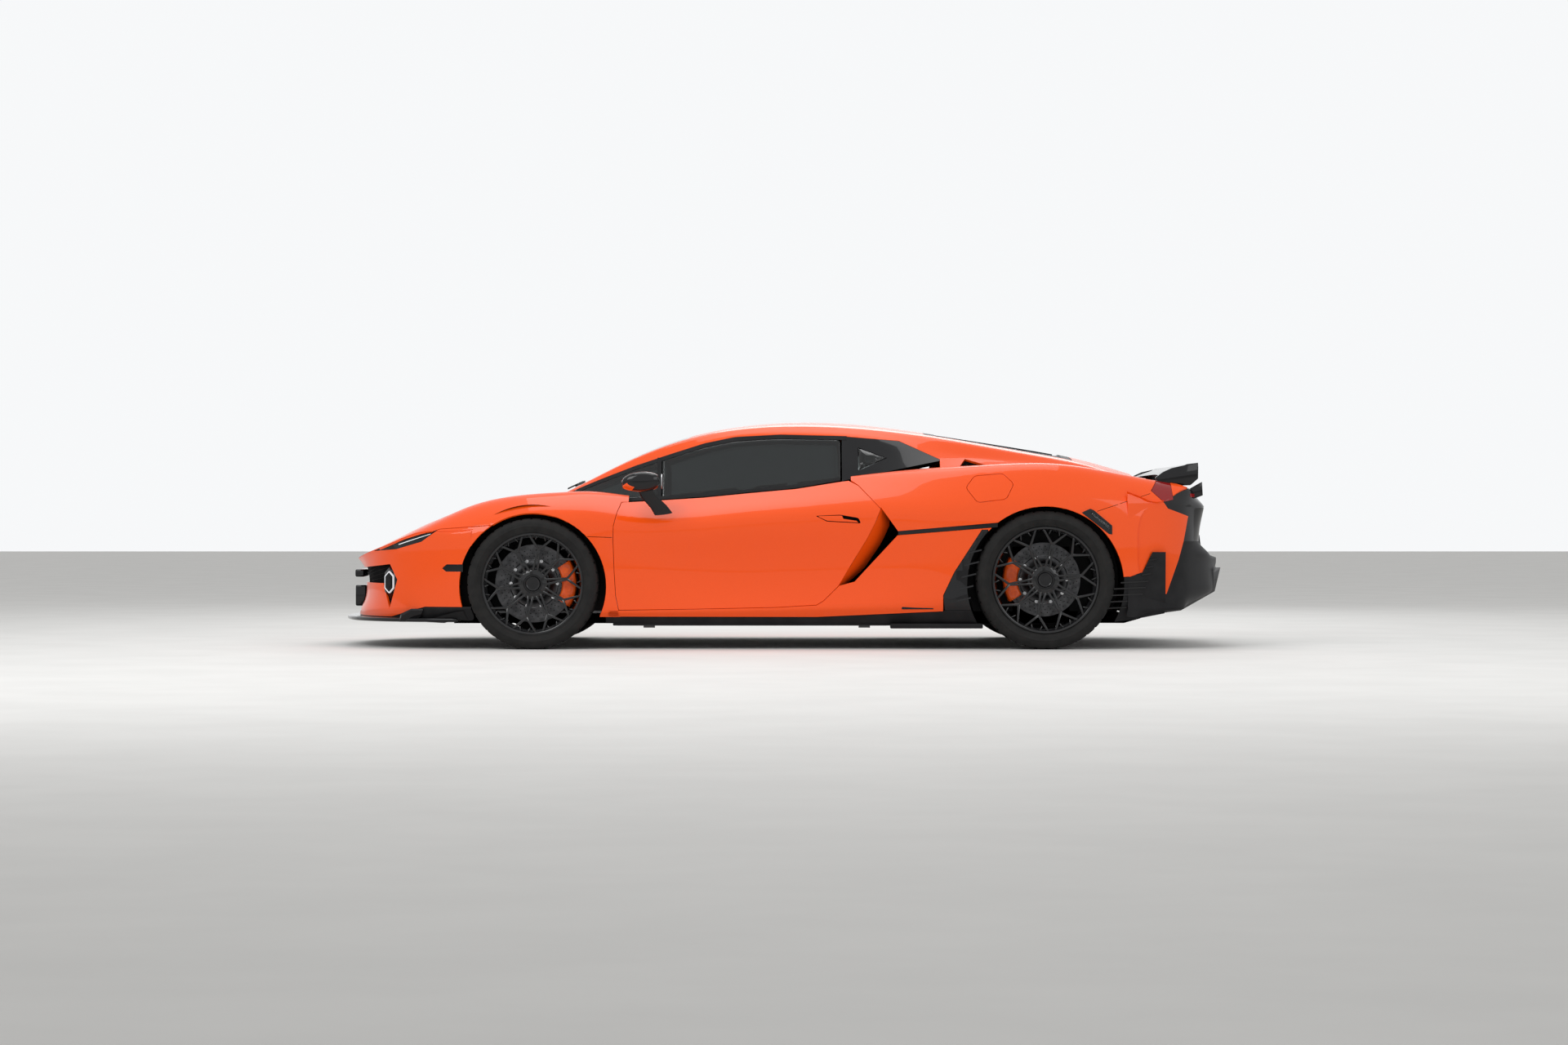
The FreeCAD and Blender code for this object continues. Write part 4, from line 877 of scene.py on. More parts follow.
# nose
noseOpening = [(-2330, 421), (-2223, 421), (-2058, 441), (-2014, 359), (-2061, 205), (-2100, 338),
               (-2330, 338)]
lipOutline = [(-2420, 166), (-2050, 166), (-1859, 221), (-1600, 221), (-1600, 60), (-2420, 60)]
lampSlot = [(-2152, 508), (-2129, 517), (-1960, 572), (-1778, 627), (-1879, 559), (-2020, 520)]
markerSlot = [(-1767, 420), (-1740, 441), (-1655, 441), (-1655, 402), (-1745, 402)]
lowerMouth = [(-330, 190), (-330, 330), (330, 330), (330, 190), (250, 178), (-250, 178)]

bm = skinCopy(hullSkin)
cutOut(bm, shrink(noseOutline, gap))
cutAway(bm, noseCut, (0, 1))
cutPlan(bm, shrink([(-2098, -20)] + bonnetPlan[1:-1] + [(-1254, -20)], -gap))
for hole in (shrink(lampSlot, -1.5), frontArch, lipOutline, shrink(markerSlot, -1)):
    cutAway(bm, hole)
seamTest = alongPlan(nosePlan)
rollEdge(bm, only=lambda e: not seamTest(e) and not (abs(e.verts[0].co.y) + abs(e.verts[1].co.y) < 0.0001))
wall = skinCopy(noseSkin)
facing(wall, (-1, -0.6, 0))
cutAway(wall, frontArch)
for hole in (noseOpening, lipOutline, markerSlot, shrink(lampSlot, -1.5)):
    cutAway(wall, hole)
cutAway(wall, lowerMouth, (1, 2))
rollEdge(wall, only=lambda e: min(abs(v.co.y) for v in e.verts) > 0.0001
         and not (max(v.co.z for v in e.verts) > 0.43 and e.verts[0].co.z > 0.43 and
                  not insideOutline(e.verts[0].co.x * 1000, e.verts[0].co.z * 1000,
                                    shrink(noseOpening, -4))))
addSheet(bm, wall)
showBoth(bm, "noseSkinPanels", orangePaint, "chassis", ["front_bumper"])

# a near-black copy of the nose wall 34 mm inside: painted shade seen through the nose's openings
bm = skinCopy(noseSkin, "both")
facing(bm, (-1, 0, 0))
inward(bm, 34)
showPiece(bm, "noseShadeBacking", jointAndShadeBlack)

bm = skinCopy(noseSkin, "both")
facing(bm, (-1, 0, 0))
cutOut(bm, [(-2330, 160), (-1990, 160), (-1990, 450), (-2330, 450)])
inward(bm, 16)
bmesh.ops.wireframe(bm, faces=bm.faces[:], thickness=0.0022, use_replace=True, use_boundary=True,
                    use_even_offset=False)
showPiece(bm, "noseMesh", blackSatin, corner=40)

# the black lip below the bumper's corners and the splitter blade
bm = skinCopy(hullSkin)
cutOut(bm, [(-2420, 150), (-1600, 150), (-1600, 221), (-2420, 221)])
cutOut(bm, lipOutline)
cutAway(bm, noseCut, (0, 1))
cutAway(bm, frontArch)
wall = skinCopy(noseSkin)
facing(wall, (-1, -0.6, 0))
cutOut(wall, lipOutline)
addSheet(bm, wall)
inward(bm, 3)
showBoth(bm, "noseLowerLip", blackSatin)

splitterPlan = [(-2353, 0), (-2350, 130), (-2339, 250), (-2318, 360), (-2293, 450), (-2257, 545),
                (-2213, 620),
                (-2155, 700), (-2093, 765), (-2010, 827), (-1923, 875), (-1820, 906), (-1713, 925), (-1690,
                                                                                                     925)]
bm = bmesh.new()
plate(bm, fullPlan(splitterPlan), 140, 160, (0, 1), bevel=6, segments=3)
for side in (-1, 1):
    beam(bm, [(mm(-1960, side * 846, 150), (0.035, 0, 0), (0, 0, 0.01)),
              (mm(-1935, side * 868, 176), (0.05, 0, 0), (0, 0.0, 0.008)),
              (mm(-1900, side * 884, 205), (0.03, 0, 0), (0, 0.004, 0.004))])
showPiece(bm, "splitterBlade", blackGloss, "chassis", ["front_splitter"], "black_satin", corner=35)

# hexagonal running lights inside the corner openings
drl = {"centre": (-2062, -742, 345), "tall": 58, "wide": 31}
bm = bmesh.new()
away = Vector((-0.62, -0.78, 0))
along = Vector((-0.78, 0.62, 0))


def hexLoop(scale, depth):
    centre = Vector(drl["centre"]) + away * depth
    return [(centre + along * u * drl["wide"] * scale + Vector((0, 0, 1)) * w * drl["tall"] * scale) / 1000
            for u, w in ((0, 1), (1, 0.55), (1, -0.55), (0, -1), (-1, -0.55), (-1, 0.55))]


def hexFace(bm, scale, depth):
    verts = [bmesh.ops.create_vert(bm, co=p)["vert"][0] for p in hexLoop(scale, depth)]
    bmesh.ops.contextual_create(bm, geom=verts)


bridged(bm, [hexLoop(scale, depth) for scale, depth in
             ((1.0, -8), (1.0, 1), (0.985, 3), (0.925, 3), (0.91, 1), (0.91, -8))])
outward(bm)
showBoth(bm, "runningLightRings", whiteGuide, corner=35)
bm = bmesh.new()
hexFace(bm, 1.55, -16)
bmesh.ops.solidify(bm, geom=bm.faces[:], thickness=0.006)
hexFace(bm, 0.9, 0)
hexFace(bm, 0.5, 2)
facing(bm, away)
showBoth(bm, "runningLightHousings", blackGloss)

# headlamps: a dark glossy lens in the slot with a thin white bar below its upper edge
lampBar = [(-2010, 545), (-1960, 561), (-1830, 600), (-1832, 597), (-1960, 557), (-2010, 541)]


def noseInset(outline, deep):
    # the part of the hull's side and of the nose's wall inside an outline, set inwards
    bm = skinCopy(hullSkin)
    cutOut(bm, outline)
    cutAway(bm, noseCut, (0, 1))
    wall = skinCopy(noseSkin)
    facing(wall, (-1, -0.6, 0))
    cutOut(wall, outline)
    addSheet(bm, wall)
    inward(bm, deep)
    return bm


bm = noseInset(lampSlot, 6)
showBoth(bm, "headlampLenses", blackGloss, "chassis", ["headlamps"], "lamp_lens")
bm = noseInset(lampBar, 4)
bmesh.ops.solidify(bm, geom=bm.faces[:], thickness=0.002)
showBoth(bm, "headlampBars", whiteGuide)
bm = noseInset(markerSlot, 3)
showBoth(bm, "sideMarkers", blackGloss, "chassis", (), "lamp_lens")
bm = bmesh.new()
roundBox(bm, (-2322, -62, 205), (-2262, 62, 318), 8)
roundBox(bm, (-2305, -215, 365), (-2255, 215, 405), 8)
showPiece(bm, "radarBox", blackGloss, corner=35)
print("stage: nose")

# tail
tailColumns = [(2353, 0), (2346, 150), (2330, 300), (2306, 430), (2270, 560), (2220, 670), (2150, 775),
               (2085, 848), (2000, 905), (1920, 938), (1840, 962), (1790, 972)]
tailProfile = [(1850, 170), (2100, 205), (2290, 292), (2353, 440), (2335, 472), (2255, 503), (2192, 560),
               (2200, 640), (2219, 744), (2150, 830), (2060, 864)]


def tailRows(x, y):
    points = []
    for px, pz in tailProfile:
        near = min(px, x)
        if pz > 800:
            pz = min(pz, topAt(min(near, x) - 3, min(y, 930)))
        points.append((near, y, pz))
    return points


tailSkin = wallSheet("tailForm", tailColumns, tailRows, (0, 0.6, 0.4, 0.8, 0.7, 0.3, 0.6, 0.3, 0.9, 0.7, 0))
tailSet = {"endX": 2.3385, "narrowing": 0.35, "narrowFrom": 0.76}
for v in tailSkin.vertices:
    # ends the wall at the measured length and draws its top corners in
    v.co.x = min(v.co.x, tailSet["endX"])
    v.co.y *= 1 - tailSet["narrowing"] * max(0, v.co.z - tailSet["narrowFrom"])
tailLookup = treeOf(tailSkin)


def tailPart(outline, deep=0):
    # the tail's wall inside an outline, with a rolled edge or set inwards round the exhaust's hole
    bm = skinCopy(tailSkin)
    facing(bm, (1, -0.3, 0))
    cutOut(bm, outline)
    if deep:
        inward(bm, deep)
        addBoth(bm)
        cutAway(bm, exhaustHole, (1, 2))
    else:
        rollEdge(bm, only=lambda e: min(abs(v.co.y) for v in e.verts) > 0.0001)
        addBoth(bm)
    return bm


bladeOutline = [(1770, 1000), (1900, 900), (1915, 824), (1983, 760), (2005, 730), (2120, 690), (2093, 560),
                (2065, 466), (1997, 288), (1912, 271), (1971, 496), (1920, 505), (1867, 400), (1798, 377),
                (1770, 420)]
showPiece(tailPart(bladeOutline), "tailCorners", orangePaint, "chassis", ["rear_bumper"])
slotPanel = [(1798, 377), (1867, 400), (1920, 505), (1971, 496), (1912, 271), (1997, 288), (2065, 466),
             (2093, 560),
             (2330, 560), (2353, 440), (2290, 290), (2100, 200), (1850, 150), (1760, 160), (1700,
                                                                                            420), (1770,
                                                                                                   420)]
exhaustHole = [(206, 520), (130, 606), (-130, 606), (-206, 520), (-130, 436), (130, 436)]
showPiece(tailPart(slotPanel, deep=2), "tailLowerShell", blackSatin, "chassis", ["diffuser"])
upperShell = [(1915, 824), (1983, 760), (2005, 730), (2120, 690), (2093, 560), (2400, 560), (2400, 900),
              (1900, 900)]
showPiece(tailPart(upperShell, deep=1), "tailUpperShell", blackGloss)

# black slotted panel on the hull's side below the body colour
bm = skinCopy(hullSkin)
cutOut(bm, shellOutline)
cutAway(bm, rearArch)
inward(bm, 3)
showBoth(bm, "tailSideShell", blackSatin)

# tail lamps
bm = bmesh.new()
for source in (hullSkin, tailSkin):
    part = skinCopy(source)
    if source is tailSkin:
        facing(part, (1, -0.3, 0))
    cutOut(part, shrink(tailLampOutline, 1))
    if source is tailSkin:
        cutOut(part, [(1800, -1000), (2200, -1000), (2200, -700), (1800, -700)], (0, 1))
    inward(part, -2 if source is tailSkin else 2)
    addSheet(bm, part)
showBoth(bm, "tailLampLenses", redLens, "chassis", ["tail_lamps"])
print("stage: tail")


# side details
def spotOn(x, z, inset=0, lookup=None):
    return mm(x, sideAt(x, z, lookup) + inset, z)


def polyline(bm, points):
    verts = [bmesh.ops.create_vert(bm, co=p)["vert"][0] for p in points]
    return [bm.edges.new((p, q)) for p, q in zip(verts, verts[1:])]


def ribbon(bm, *lines):
    # bridges open rows of points, one after the other
    rows = [polyline(bm, line) for line in lines]
    for one, two in zip(rows, rows[1:]):
        bmesh.ops.bridge_loops(bm, edges=one + two)


def between(points, count):
    # evenly spaced points along a polyline
    lengths = [0.0]
    for p, q in zip(points, points[1:]):
        lengths.append(lengths[-1] + math.dist(p, q))
    made = []
    for k in range(count):
        want = lengths[-1] * k / (count - 1)
        i = max(j for j in range(len(points) - 1) if lengths[j] <= want + 1e-9)
        t = (want - lengths[i]) / (lengths[i + 1] - lengths[i])
        made.append(tuple(a + (b - a) * t for a, b in zip(points[i], points[i + 1])))
    return made


def trimLine(bm, line, wide, proud, lookup=None, count=24, sink=5):
    # a strip along a line in the side view, mm across and mm proud of the skin
    stations = []
    for x, z in between(line, count):
        low, high = spotOn(x, z - 6, 0, lookup), spotOn(x, z + 6, 0, lookup)
        up = (high - low).normalized()
        out = Vector((0, -up.z, up.y))
        stations.append(((low + high) / 2 + out * (proud - sink) / 2000, up * wide / 2000,
                         out * (proud + sink) / 2000))
    beam(bm, stations)


doorEdge = between([(513, 731), (482, 655), (440, 572), (356, 435), (288, 326)], 14)
slopeEdge = between([(556, 706), (562, 650), (520, 556), (430, 420), (336, 336)], 14)
ductEdge = between([(516, 736), (608, 603), (560, 540), (460, 420), (376, 350)], 14)
bm = bmesh.new()
ribbon(bm, [spotOn(x, z, 4) for x, z in doorEdge],
       [spotOn(x * 0.5 + sx * 0.5, z * 0.5 + sz * 0.5, 40) for (x, z),
        (sx, sz) in zip(doorEdge, slopeEdge)],
       [spotOn(x, z, 105) for x, z in slopeEdge])
facing(bm, (0, -1, 0))
showBoth(bm, "intakeRamps", orangePaint)
# the ducts' inner walls are near-black: painted shade deep inside the side intakes
bm = bmesh.new()
ribbon(bm, [spotOn(x, z, 100) for x, z in slopeEdge], [spotOn(x + 60, z + 8, 230) for x, z in slopeEdge],
       [spotOn(x + 20, z + 6, 230) for x, z in ductEdge], [spotOn(x, z, 10) for x, z in ductEdge])
facing(bm, (0, -1, 0))
showBoth(bm, "intakeDucts", jointAndShadeBlack)

bm = skinCopy(hullSkin)
cutOut(bm, slotOutline)
inward(bm, 7)
showBoth(bm, "waistSlots", blackGloss)

# a near-black sheet 12 mm down in each deck intake: painted shade inside the intake
bm = skinCopy(canopySkin)
cutOut(bm, shrink(deckIntake, -4))
inward(bm, 12)
showBoth(bm, "deckIntakes", jointAndShadeBlack)

# thin shut lines and the louvres of the tail's side panel
bm = bmesh.new()
for line in ([(-1011, 585), (-884, 580)], [(1630, 716), (1740, 752), (1830, 782), (1912, 808)]):
    trimLine(bm, line, 2.4, 0.5, count=10)
outward(bm)
showBoth(bm, "shutLines", jointAndShadeBlack, corner=40)
bm = bmesh.new()
for x0, x1, z in ((1640, 1790, 212), (1664, 1835, 246), (1690, 1868, 280), (1716, 1884, 314),
                  (1752, 1896, 346),
                  (1862, 1908, 386), (1882, 1924, 424), (1900, 1944, 462)):
    trimLine(bm, [(x0, z), (x1, z + 7)], 7, 3, count=6)
outward(bm)
showBoth(bm, "tailLouvres", blackGloss, corner=40)

outletShape = [(1033, 620), (891, 400), (834, 281), (843, 196), (1070, 196), (1070, 620)]
bm = skinCopy(hullSkin)
cutOut(bm, outletShape)
cutAway(bm, rearArch)
inward(bm, 6)
rollEdge(bm)
for k in range(5):
    x, z = 900 + k * 14, 250 + k * 62
    beam(bm, [(spotOn(x, z, 3), (0, 0.002, 0.004), (0, 0.003, 0)),
              (spotOn(x + 75, z + 18, 3), (0, 0.002, 0.004), (0, 0.003, 0))])
showBoth(bm, "sideOutletPanels", blackGloss, "chassis", ["side_outlets"], corner=35)

sillShape = [(-915, 167), (178, 164), (834, 194), (843, 198), (1070, 198), (1070, 133), (-915, 133)]
bm = skinCopy(hullSkin)
cutOut(bm, sillShape)
cutAway(bm, rearArch)
cutAway(bm, frontArch)
inward(bm, 3)
rollEdge(bm)
roundBox(bm, (560, -958, 108), (1040, -905, 134), 5)
roundBox(bm, (-880, -912, 122), (1000, -780, 136), 5)
showBoth(bm, "sillSkirts", blackSatin, "chassis", ["side_sills"], "black_gloss", corner=35)
bm = bmesh.new()
roundBox(bm, (618, -972, 208), (784, -963, 230), 4)
showBoth(bm, "sillInserts", blackGloss, corner=35)

# dark wheel wells behind the arches
bm = bmesh.new()
for x, z, radius, inner, outer in ((-1294, 340, 411, 547, 938), (1364, 360, 406, 634, 940)):
    ringProfile(bm, [(radius, -outer), (radius, -inner), (90, -inner)], (x, 0, z), steps=96)
geom = bm.verts[:] + bm.edges[:] + bm.faces[:]
bmesh.ops.bisect_plane(bm, geom=geom, plane_co=(0, 0, 0.19), plane_no=(0, 0, -1), clear_outer=True)
cutAway(bm, [(1214, 180), (1214, 530), (1514, 530), (1514, 180)])
addBoth(bm)
bmesh.ops.recalc_face_normals(bm, faces=bm.faces[:])
showPiece(bm, "wheelWells", blackSatin, "chassis", ["arch_liners"], corner=40)
# near-black sheets inboard of the wheels: painted shade that keeps the backdrop from showing through the
# spokes
bm = bmesh.new()
plate(bm, [(-1740, 124), (-1740, 700), (-1640, 740), (-880, 740), (-880, 124)], -540, -536)
plate(bm, [(900, 124), (900, 800), (1860, 800), (1860, 250), (1700, 124)], -432, -428)
showBoth(bm, "innerShields", jointAndShadeBlack, corner=40)

# reflector trim on the rear arch's upper rear
bm = skinCopy(hullSkin)
reflector = [(1551, 709), (1593, 728), (1612, 720), (1706, 641), (1706, 597), (1690, 600)]
cutOut(bm, reflector)
inward(bm, -4)
rollEdge(bm)
showBoth(bm, "archReflectors", blackGloss)
bm = skinCopy(hullSkin)
cutOut(bm, [(1600, 712), (1690, 640), (1692, 622), (1598, 700)])
inward(bm, -6)
bmesh.ops.solidify(bm, geom=bm.faces[:], thickness=0.003)
showBoth(bm, "archReflectorLenses", clearLens)

# door handles, flush blades over a dark pocket
handleShape = [(185, 690), (232, 668), (400, 659), (392, 677), (300, 693)]
bm = skinCopy(hullSkin)
cutOut(bm, soften(handleShape, 8))
cutAway(bm, [(306, 700), (316, 676), (384, 666), (420, 640), (420, 700)])
inward(bm, -2.5)
rollEdge(bm)
showPair(bm, "doorHandle", orangePaint)
# the pocket is a flat near-black sheet just proud of the skin round the blade: painted shade of a recess
bm = skinCopy(hullSkin)
cutOut(bm, soften(shrink(handleShape, -5), 9))
inward(bm, -0.6)
showPair(bm, "handlePocketShade", jointAndShadeBlack)

# mirrors: a rounded head on a raked arm, with a silvered glass facing back
mirrorSet = {"arm": [(-615, -958, 702), (-640, -972, 740), (-690, -1000, 792), (-712, -1022, 838)],
             "head": [(-945, 40, 26, -722, 868), (-965, 84, 42, -722, 866), (-1010, 104, 50, -722, 866),
                      (-1060, 108, 52, -722, 868), (-1100, 98, 47, -724, 870), (-1114, 74, 34, -726, 872),
                      (-1118, 40, 18, -728, 873)],
             "pane": [(-1105, 850), (-1104, 890), (-1080, 908), (-985, 908), (-962, 890), (-965, 848),
                      (-990, 832), (-1080, 832)],
             "flatX": -0.64}
bm = bmesh.new()
beam(bm, [(mm(x, y, z), (wide / 1000, 0, wide * 0.04 / 1000), (0, 0, high / 1000))
          for y, wide, high, x, z in mirrorSet["head"]], sides=28)
for v in bm.verts:
    if v.co.x > mirrorSet["flatX"]:
        v.co.x = mirrorSet["flatX"] + (v.co.x - mirrorSet["flatX"]) * 0.25
bevelled(bm, foldsOf(bm.edges, 0.8), 3)
beam(bm, [(Vector(spot) / 1000, (0.046 - 0.004 * k, 0, 0.006), (0, 0.009, 0.004))
          for k, spot in enumerate(mirrorSet["arm"])], sides=12)
outward(bm)
showPair(bm, "mirrorHead", blackGloss, "mirror", corner=40)
bm = bmesh.new()
plate(bm, soften(mirrorSet["pane"], 10), -622, -619, (1, 2))
showPair(bm, "mirrorGlass", brightMetal, corner=40)
bm = bmesh.new()
beam(bm, [(mm(x - 24, y, z - high * 0.5), (wide * 0.72 / 1000, 0, 0), (0, 0, high * 0.44 / 1000))
          for y, wide, high, x, z in mirrorSet["head"][1:-1]], sides=20)
outward(bm)
showPair(bm, "mirrorUnder", orangePaint, corner=40)
print("stage: side details")

# window trims
topStrip = [(-1085, 824), (-956, 876), (-838, 921), (-774, 946), (-593, 1006), (-411, 1064), (-249, 1098),
            (-10, 1111), (340, 1103)]
bm = bmesh.new()
trimLine(bm, topStrip, 24, 1.6, canopyLookup, 60)
outward(bm)
showBoth(bm, "windowRails", blackSatin, corner=40)
bm = bmesh.new()
beam(bm, [(spotOn(-646, z, 0, canopyLookup), (0.011, 0, 0), (0, 0.004, 0)) for z in (770, 830, 900, 960,
                                                                                     1000)])
outward(bm)
showBoth(bm, "divisionBars", blackSatin, corner=40)
bm = bmesh.new()
trimLine(bm, [(-832, 774), (-660, 784), (-418, 799), (-173, 823), (72, 845), (304, 884)], 19, 5,
         canopyLookup, 50,
         16)
outward(bm)
showPair(bm, "beltSeal", blackSatin, corner=40)

# cowl and wipers
bm = skinCopy(hullSkin, "both")
cutOut(bm, fullPlan([(-1250, 0), (-1250, 608), (-1134, 634), (-1064, 694), (-860, 700), (-860, 0)]), (0, 1))
cutOut(bm, [(-1300, 700), (-850, 700), (-850, 1000), (-1300, 1000)])
inward(bm, 12)
showPiece(bm, "cowlPanel", blackSatin)
bm = bmesh.new()
for y0, y1 in ((-330, -120), (250, 330)):
    arm = []
    for k in range(7):
        t = k / 6
        x = -1150 + 70 * t
        y = y0 + (y1 - y0) * t
        z = topAt(x, y, canopyLookup) or 815
        arm.append((mm(x, y, z + 14), (0, 0.008, 0), (0, 0, 0.004)))
    beam(bm, arm)
for ya, yb in ((-430, 120), (60, 480)):
    blade = []
    for k in range(12):
        t = k / 11
        y = ya + (yb - ya) * t
        x = -1098 + 26 * (1 - abs(2 * t - 1))
        z = topAt(x, y, canopyLookup)
        blade.append((mm(x, y, z + 8), (0.006, 0, 0.003), (0, 0, 0.006)))
    beam(bm, blade)
outward(bm)
showPiece(bm, "wipers", blackSatin, corner=35)

# engine cover with slats
coverHalf = [(790, 0), (790, 427), (1364, 398), (1552, 358), (1552, 0)]
slotHalf = [(816, 0), (816, 371), (1340, 345), (1500, 300), (1500, 0)]
bm = skinCopy(canopySkin, "both")
cutOut(bm, shrink(fullPlan([(757, 0), (757, 428), (790, 427), (790, 0)]), gap), (0, 1))
cutOut(bm, [(700, 900), (1600, 900), (1600, 1300), (700, 1300)])
rollEdge(bm, ((0.5, 0.25), (1.1, 1.2), (1.2, 5)))
showPiece(bm, "coverFrontStrip", blackSatin, "chassis", (), "black_gloss")
bm = skinCopy(canopySkin, "both")
cutOut(bm, shrink(fullPlan(coverHalf), gap), (0, 1))
cutAway(bm, soften(fullPlan(slotHalf), 30), (0, 1))
cutOut(bm, [(700, 900), (1600, 900), (1600, 1300), (700, 1300)])
rollEdge(bm, ((0.5, 0.25), (1.1, 1.2), (1.2, 22.0)))
for v in bm.verts:
    if v.co.x < 0.804:
        v.co.z = max(v.co.z, topAt(795, v.co.y * 1000, canopyLookup) / 1000 - 0.004)
for k in range(9):
    x = 850 + 76 * k
    half = 366 - max(0, x - 800) * 0.085
    stations = []
    for j in range(9):
        y = -half + 2 * half * j / 8
        z = topAt(x, y, canopyLookup) if abs(y) < 500 else 1000
        stations.append((mm(x, y, z - 15), (0.034, 0, -0.002), (0, 0, 0.004)))
    beam(bm, stations)
for y in (-128, 128):
    stations = [(mm(x, y, topAt(x, y, canopyLookup) - 12), (0, 0.012, 0), (0, 0, 0.009))
                for x in range(812, 1520, 59)]
    beam(bm, stations)
showPiece(bm, "engineCoverSlats", blackSatin, "engine_lid", ["engine_cover"], "black_gloss", corner=40)

# rear wing
wingSet = {"half": 776, "chord": [(1990, 915), (2030, 934), (2090, 952), (2140, 964), (2176, 971),
                                  (2177, 955),
                                  (2150, 940), (2100, 922), (2050, 908)]}
bm = bmesh.new()
rows = []
for k in range(17):
    y = -wingSet["half"] + 2 * wingSet["half"] * k / 16
    drop = 10 * (abs(y) / wingSet["half"]) ** 3
    sweep = 22 * (abs(y) / wingSet["half"]) ** 2
    rows.append([mm(x - sweep * (0 if x > 2160 else 1), y, z - drop * (x < 2100))
                 for x, z in wingSet["chord"]])
bridged(bm, rows, capped=True)
finShape = [(1951, 892), (1990, 922), (2038, 944), (2110, 960), (2172, 970), (2178, 950), (2177, 888),
            (2137, 853),
            (2050, 850), (1975, 858)]
lowerFin = [(2080, 800), (2140, 838), (2200, 872), (2204, 800), (2150, 780)]
wingPost = [(1995, 850), (2052, 920), (2120, 935), (2110, 850)]
for side in (-1, 1):
    for shape, near, far, bevel in ((finShape, 758, 779, 4), (lowerFin, 732, 757, 3),
                                    (wingPost, 524, 552, 4)):
        plate(bm, shape, *sorted((side * near, side * far)), bevel=bevel)
outward(bm)
showPiece(bm, "rearWingBlade", blackGloss, "chassis", ["rear_wing"], corner=32)

# rear panels: mesh, exhausts, diffuser fins and lamps
bm = skinCopy(tailSkin, "both")
facing(bm, (1, 0, 0))
cutOut(bm, [(-470, 585), (-470, 700), (470, 700), (470, 585)], (1, 2))
cutOut(bm, [(1900, 500), (2400, 500), (2400, 800), (1900, 800)], (0, 2))
inward(bm, -3)
bmesh.ops.wireframe(bm, faces=bm.faces[:], thickness=0.003, use_replace=True, use_boundary=True,
                    use_even_offset=False)
showPiece(bm, "tailMesh", blackSatin, corner=40)
bm = bmesh.new()
for y in (-110, 110):
    loops = []
    for radius, x in ((40, 2120), (42, 2226), (44, 2236), (52, 2236), (55, 2228), (55, 2190), (49, 2120)):
        made = bmesh.ops.create_circle(bm, cap_ends=False, segments=48, radius=radius / 1000,
                                       matrix=Matrix.Translation(mm(x, y, 520))
                                       @ Matrix.Rotation(math.pi / 2, 4, "Y"))["verts"]
        loops.append(list({e for v in made for e in v.link_edges}))
    for one, two in zip(loops, loops[1:]):
        bmesh.ops.bridge_loops(bm, edges=one + two)
outward(bm)
showPiece(bm, "exhaustTips", exhaustSteel, "chassis", ["exhaust_pipes"], corner=35)
bm = bmesh.new()
hexFrame = [(190, 520), (120, 590), (-120, 590), (-190, 520), (-120, 452), (120, 452)]
innerHex = shrink(hexFrame, 16)
bridged(bm, [[mm(x, y, z) for y, z in shape] for shape, x in
             ((hexFrame, 2200), (hexFrame, 2262), (innerHex, 2262), (innerHex, 2200))])
outward(bm)
showPiece(bm, "exhaustFrame", blackGloss, corner=35)
bm = bmesh.new()
for y in (-480, -290, -100, 100, 290, 480):
    plate(bm, [(1960, 168), (2120, 190), (2300, 292), (2330, 420), (2270, 420), (2150, 330)], y - 5, y + 5,
          bevel=2)
outward(bm)
showPiece(bm, "diffuserFins", carbonWeave, "chassis", (), "black_satin", corner=35)
bm = bmesh.new()
for y0, z0, y1, z1 in ((-790, 800, -560, 800), (-560, 800, -430, 840), (-560, 800, -430, 760)):
    for side in (1, -1):
        stations = []
        for k in range(7):
            t = k / 6
            y, z = side * (y0 + (y1 - y0) * t), z0 + (z1 - z0) * t
            hit = tailLookup.ray_cast(Vector((3, y / 1000, z / 1000)), Vector((-1, 0, 0)))[0]
            x = hit.x * 1000 if hit else 2150
            stations.append((mm(x + 2, y, z), (0.004, 0, 0), (0, 0, 0.009)))
        beam(bm, stations)
outward(bm)
showPiece(bm, "tailLampBars", redLens, corner=35)

# flat underfloor that rises to the diffuser
bm = bmesh.new()
ribbon(bm, [mm(-2250, y, 150) for y in (-560, -280, 0, 280, 560)],
       [mm(-1760, y, 134) for y in (-860, -430, 0, 430, 860)])
ribbon(bm, [mm(1424, y, 128) for y in (-620, -310, 0, 310, 620)],
       [mm(1780, y, 134) for y in (-860, -430, 0, 430, 860)],
       [mm(1860, y, 160) for y in (-920, -460, 0, 460, 920)])
ribbon(bm, [mm(548, y, 119) for y in (-700, -350, 0, 350, 700)],
       [mm(1424, y, 122) for y in (-620, -310, 0, 310, 620)])
facing(bm, (0, 0, -1))
bmesh.ops.solidify(bm, geom=bm.faces[:], thickness=0.004)
showPiece(bm, "underfloor", blackSatin, corner=35)
print("stage: trims, wing and rear panels")


# cabin: padded seats on hard shells
seatSet = {"side": 370, "cushion": (-128, 300, 205, 172, 268), "backFoot": (300, 236),
           "backHead": (408, 946),
           "halfWidth": 208, "headWidth": 128, "depth": 62, "voxel": 0.006, "pressure": 4, "reach": 0.024}


